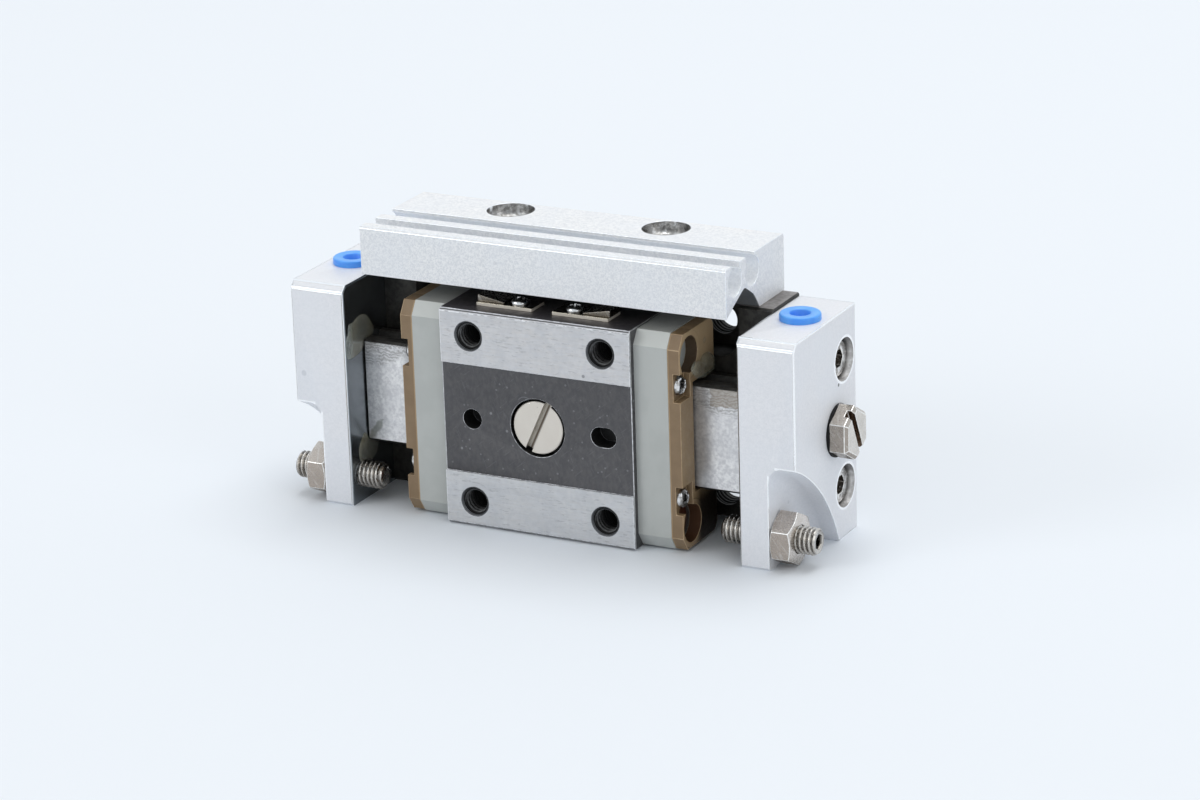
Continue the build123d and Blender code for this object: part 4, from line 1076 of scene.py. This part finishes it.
def smear_points(outline, thickness, lumps, columns=96, rings=16):
    """A smear on a flat wall, star-shaped about its middle: rings shrink from the outline to the middle while
    the height rises as the root of one less the fourth power of the share, with waves for lumps."""
    outline = np.array(outline, float)
    centre = outline.mean(axis=0)
    spokes = outline - centre
    turn = np.arctan2(spokes[:, 1], spokes[:, 0])
    order = np.argsort(turn)
    angle = np.linspace(-math.pi, math.pi, columns, endpoint=False)
    reach = np.interp(angle, turn[order], np.hypot(*spokes.T)[order], period=AROUND)
    for _ in range(8):
        reach = (np.roll(reach, 1) + 2 * reach + np.roll(reach, -1)) / 4
    share = np.linspace(0, 1, rings)[:, None]
    u = np.maximum(centre[0] + share * reach * np.cos(angle), outline[:, 0].min())
    v = centre[1] + share * reach * np.sin(angle)
    wave = 1 + lumps * np.sin(u * 2.3 + 1.0) * np.sin(v * 2.9) + lumps * 0.6 * np.sin(u * 4.1 + v * 3.3)
    height = thickness * np.sqrt(1 - share ** 4) * wave
    front = np.stack([u, v, height], axis=-1)
    back = np.stack([u, v, 0 * u - 0.02], axis=-1)[::-1]
    return np.concatenate([front, back])


for name, wall_x, body, thickness, lumps, outline in (
        ("grease_on_left_block", -block_inner, ROOT, 0.22, 0.08,
         [(-10.1, 28.1), (-9.4, 27.7), (-8.8, 26.7), (-7.9, 27.3), (-7.0, 27.8), (-5.6, 28.0), (-4.3, 27.7),
          (-3.3, 27.0), (-2.6, 26.0), (-1.9, 24.9), (-1.5, 24.4), (-5.1, 24.35), (-5.4, 22.8), (-7.6, 22.4),
          (-9.5, 22.2), (-10.1, 23.0)]),
        ("low_grease_on_left_block", -block_inner, ROOT, 0.15, 0.08,
         [(-8.0, 7.6), (-6.9, 9.4), (-5.6, 10.4), (-5.2, 8.5), (-3.9, 8.4), (-2.2, 7.9), (-2.6, 6.4),
          (-4.4, 5.4), (-6.8, 5.2)]),
        ("grease_on_right_plate", plate_face, TABLE, 0.75, 0.12,
         [(-5.9, 27.1), (-4.2, 27.3), (-3.0, 26.9), (-1.3, 27.6), (-0.2, 27.4), (0.8, 26.4), (1.4, 25.3),
          (0.7, 24.5), (-1.6, 24.45), (-3.4, 24.5), (-4.9, 25.4), (-6.1, 26.3)])):
    points = placed(smear_points(outline, thickness, lumps), (wall_x, 0, 0), (1, 0, 0))
    finish_piece(name, mesh_of(name, [points]), GREASE, body, crease=70.0)


# Stage

floor_reach = 3.0
floor_corners = [(x * floor_reach, y * floor_reach, 0) for x, y in ((-1, -1), (1, -1), (1, 1), (-1, 1))]
floor_mesh = bpy.data.meshes.new("floor")
floor_mesh.from_pydata(floor_corners, [], [(0, 1, 2, 3)])
floor = shown("floor", floor_mesh)
floor_finish = Finish("pale_floor", tone(230, 237, 245), 0.7)
floor_finish.set("Specular IOR Level", 0.1)
floor_mesh.materials.append(floor_finish.material)

world = bpy.data.worlds.new("studio")
bpy.context.scene.world = world
world.use_nodes = True
sky = world.node_tree
sky.nodes.clear()
ray = wire(sky, "ShaderNodeLightPath").outputs
direct = calc(sky, "MAXIMUM", ray["Is Camera Ray"],
              calc(sky, "MAXIMUM", ray["Is Glossy Ray"], ray["Is Transmission Ray"]))
seen = wire(sky, "ShaderNodeBackground", {"Color": tone(235, 242, 249), "Strength": 1.0})
direction = wire(sky, "ShaderNodeTexCoord").outputs["Generated"]
part = wire(sky, "ShaderNodeSeparateXYZ", {0: direction}).outputs
rise = span(sky, part[2], -0.1, 0.75, 0.62, 0.66)
lit = wire(sky, "ShaderNodeBackground", {"Color": tone(255, 253, 250), "Strength": rise})
both = wire(sky, "ShaderNodeMixShader", {0: direct, 1: lit.outputs[0], 2: seen.outputs[0]})
wire(sky, "ShaderNodeOutputWorld", {"Surface": both.outputs[0]})


def lamp(name, place, aim, width, height, power):
    """A rectangular soft lamp, turned towards its aim."""
    data = bpy.data.lights.new(name, "AREA")
    data.shape = "RECTANGLE"
    data.size, data.size_y, data.energy = width, height, power
    light = shown(name, data)
    light.location = place
    light.rotation_euler = (Vector(aim) - Vector(place)).to_track_quat("-Z", "Y").to_euler()


lamp("overhead_softbox", (0.1, 0.42, 1.55), (0, 0, 0), 1.2, 1.0, 11.0)
lamp("left_softbox", (-1.0, -1.2, 0.8), (0, 0, 0.02), 0.7, 0.7, 4.3)
lamp("right_softbox", (1.3, -0.5, 0.8), (0, 0, 0.02), 0.7, 0.7, 1.5)


# Camera, fitted to the photograph's straight edges and circles

camera_data = bpy.data.cameras.new("camera")
camera_data.sensor_width = 36.0
camera_data.lens = 121.82
camera = shown("camera", camera_data)
camera.location = (0.25999, -0.48583, 0.20843)
camera.rotation_euler = [math.radians(angle) for angle in (70.8429, 1.7518, 27.1207)]
scene = bpy.context.scene
scene.camera = camera
scene.view_settings.view_transform = "Standard"
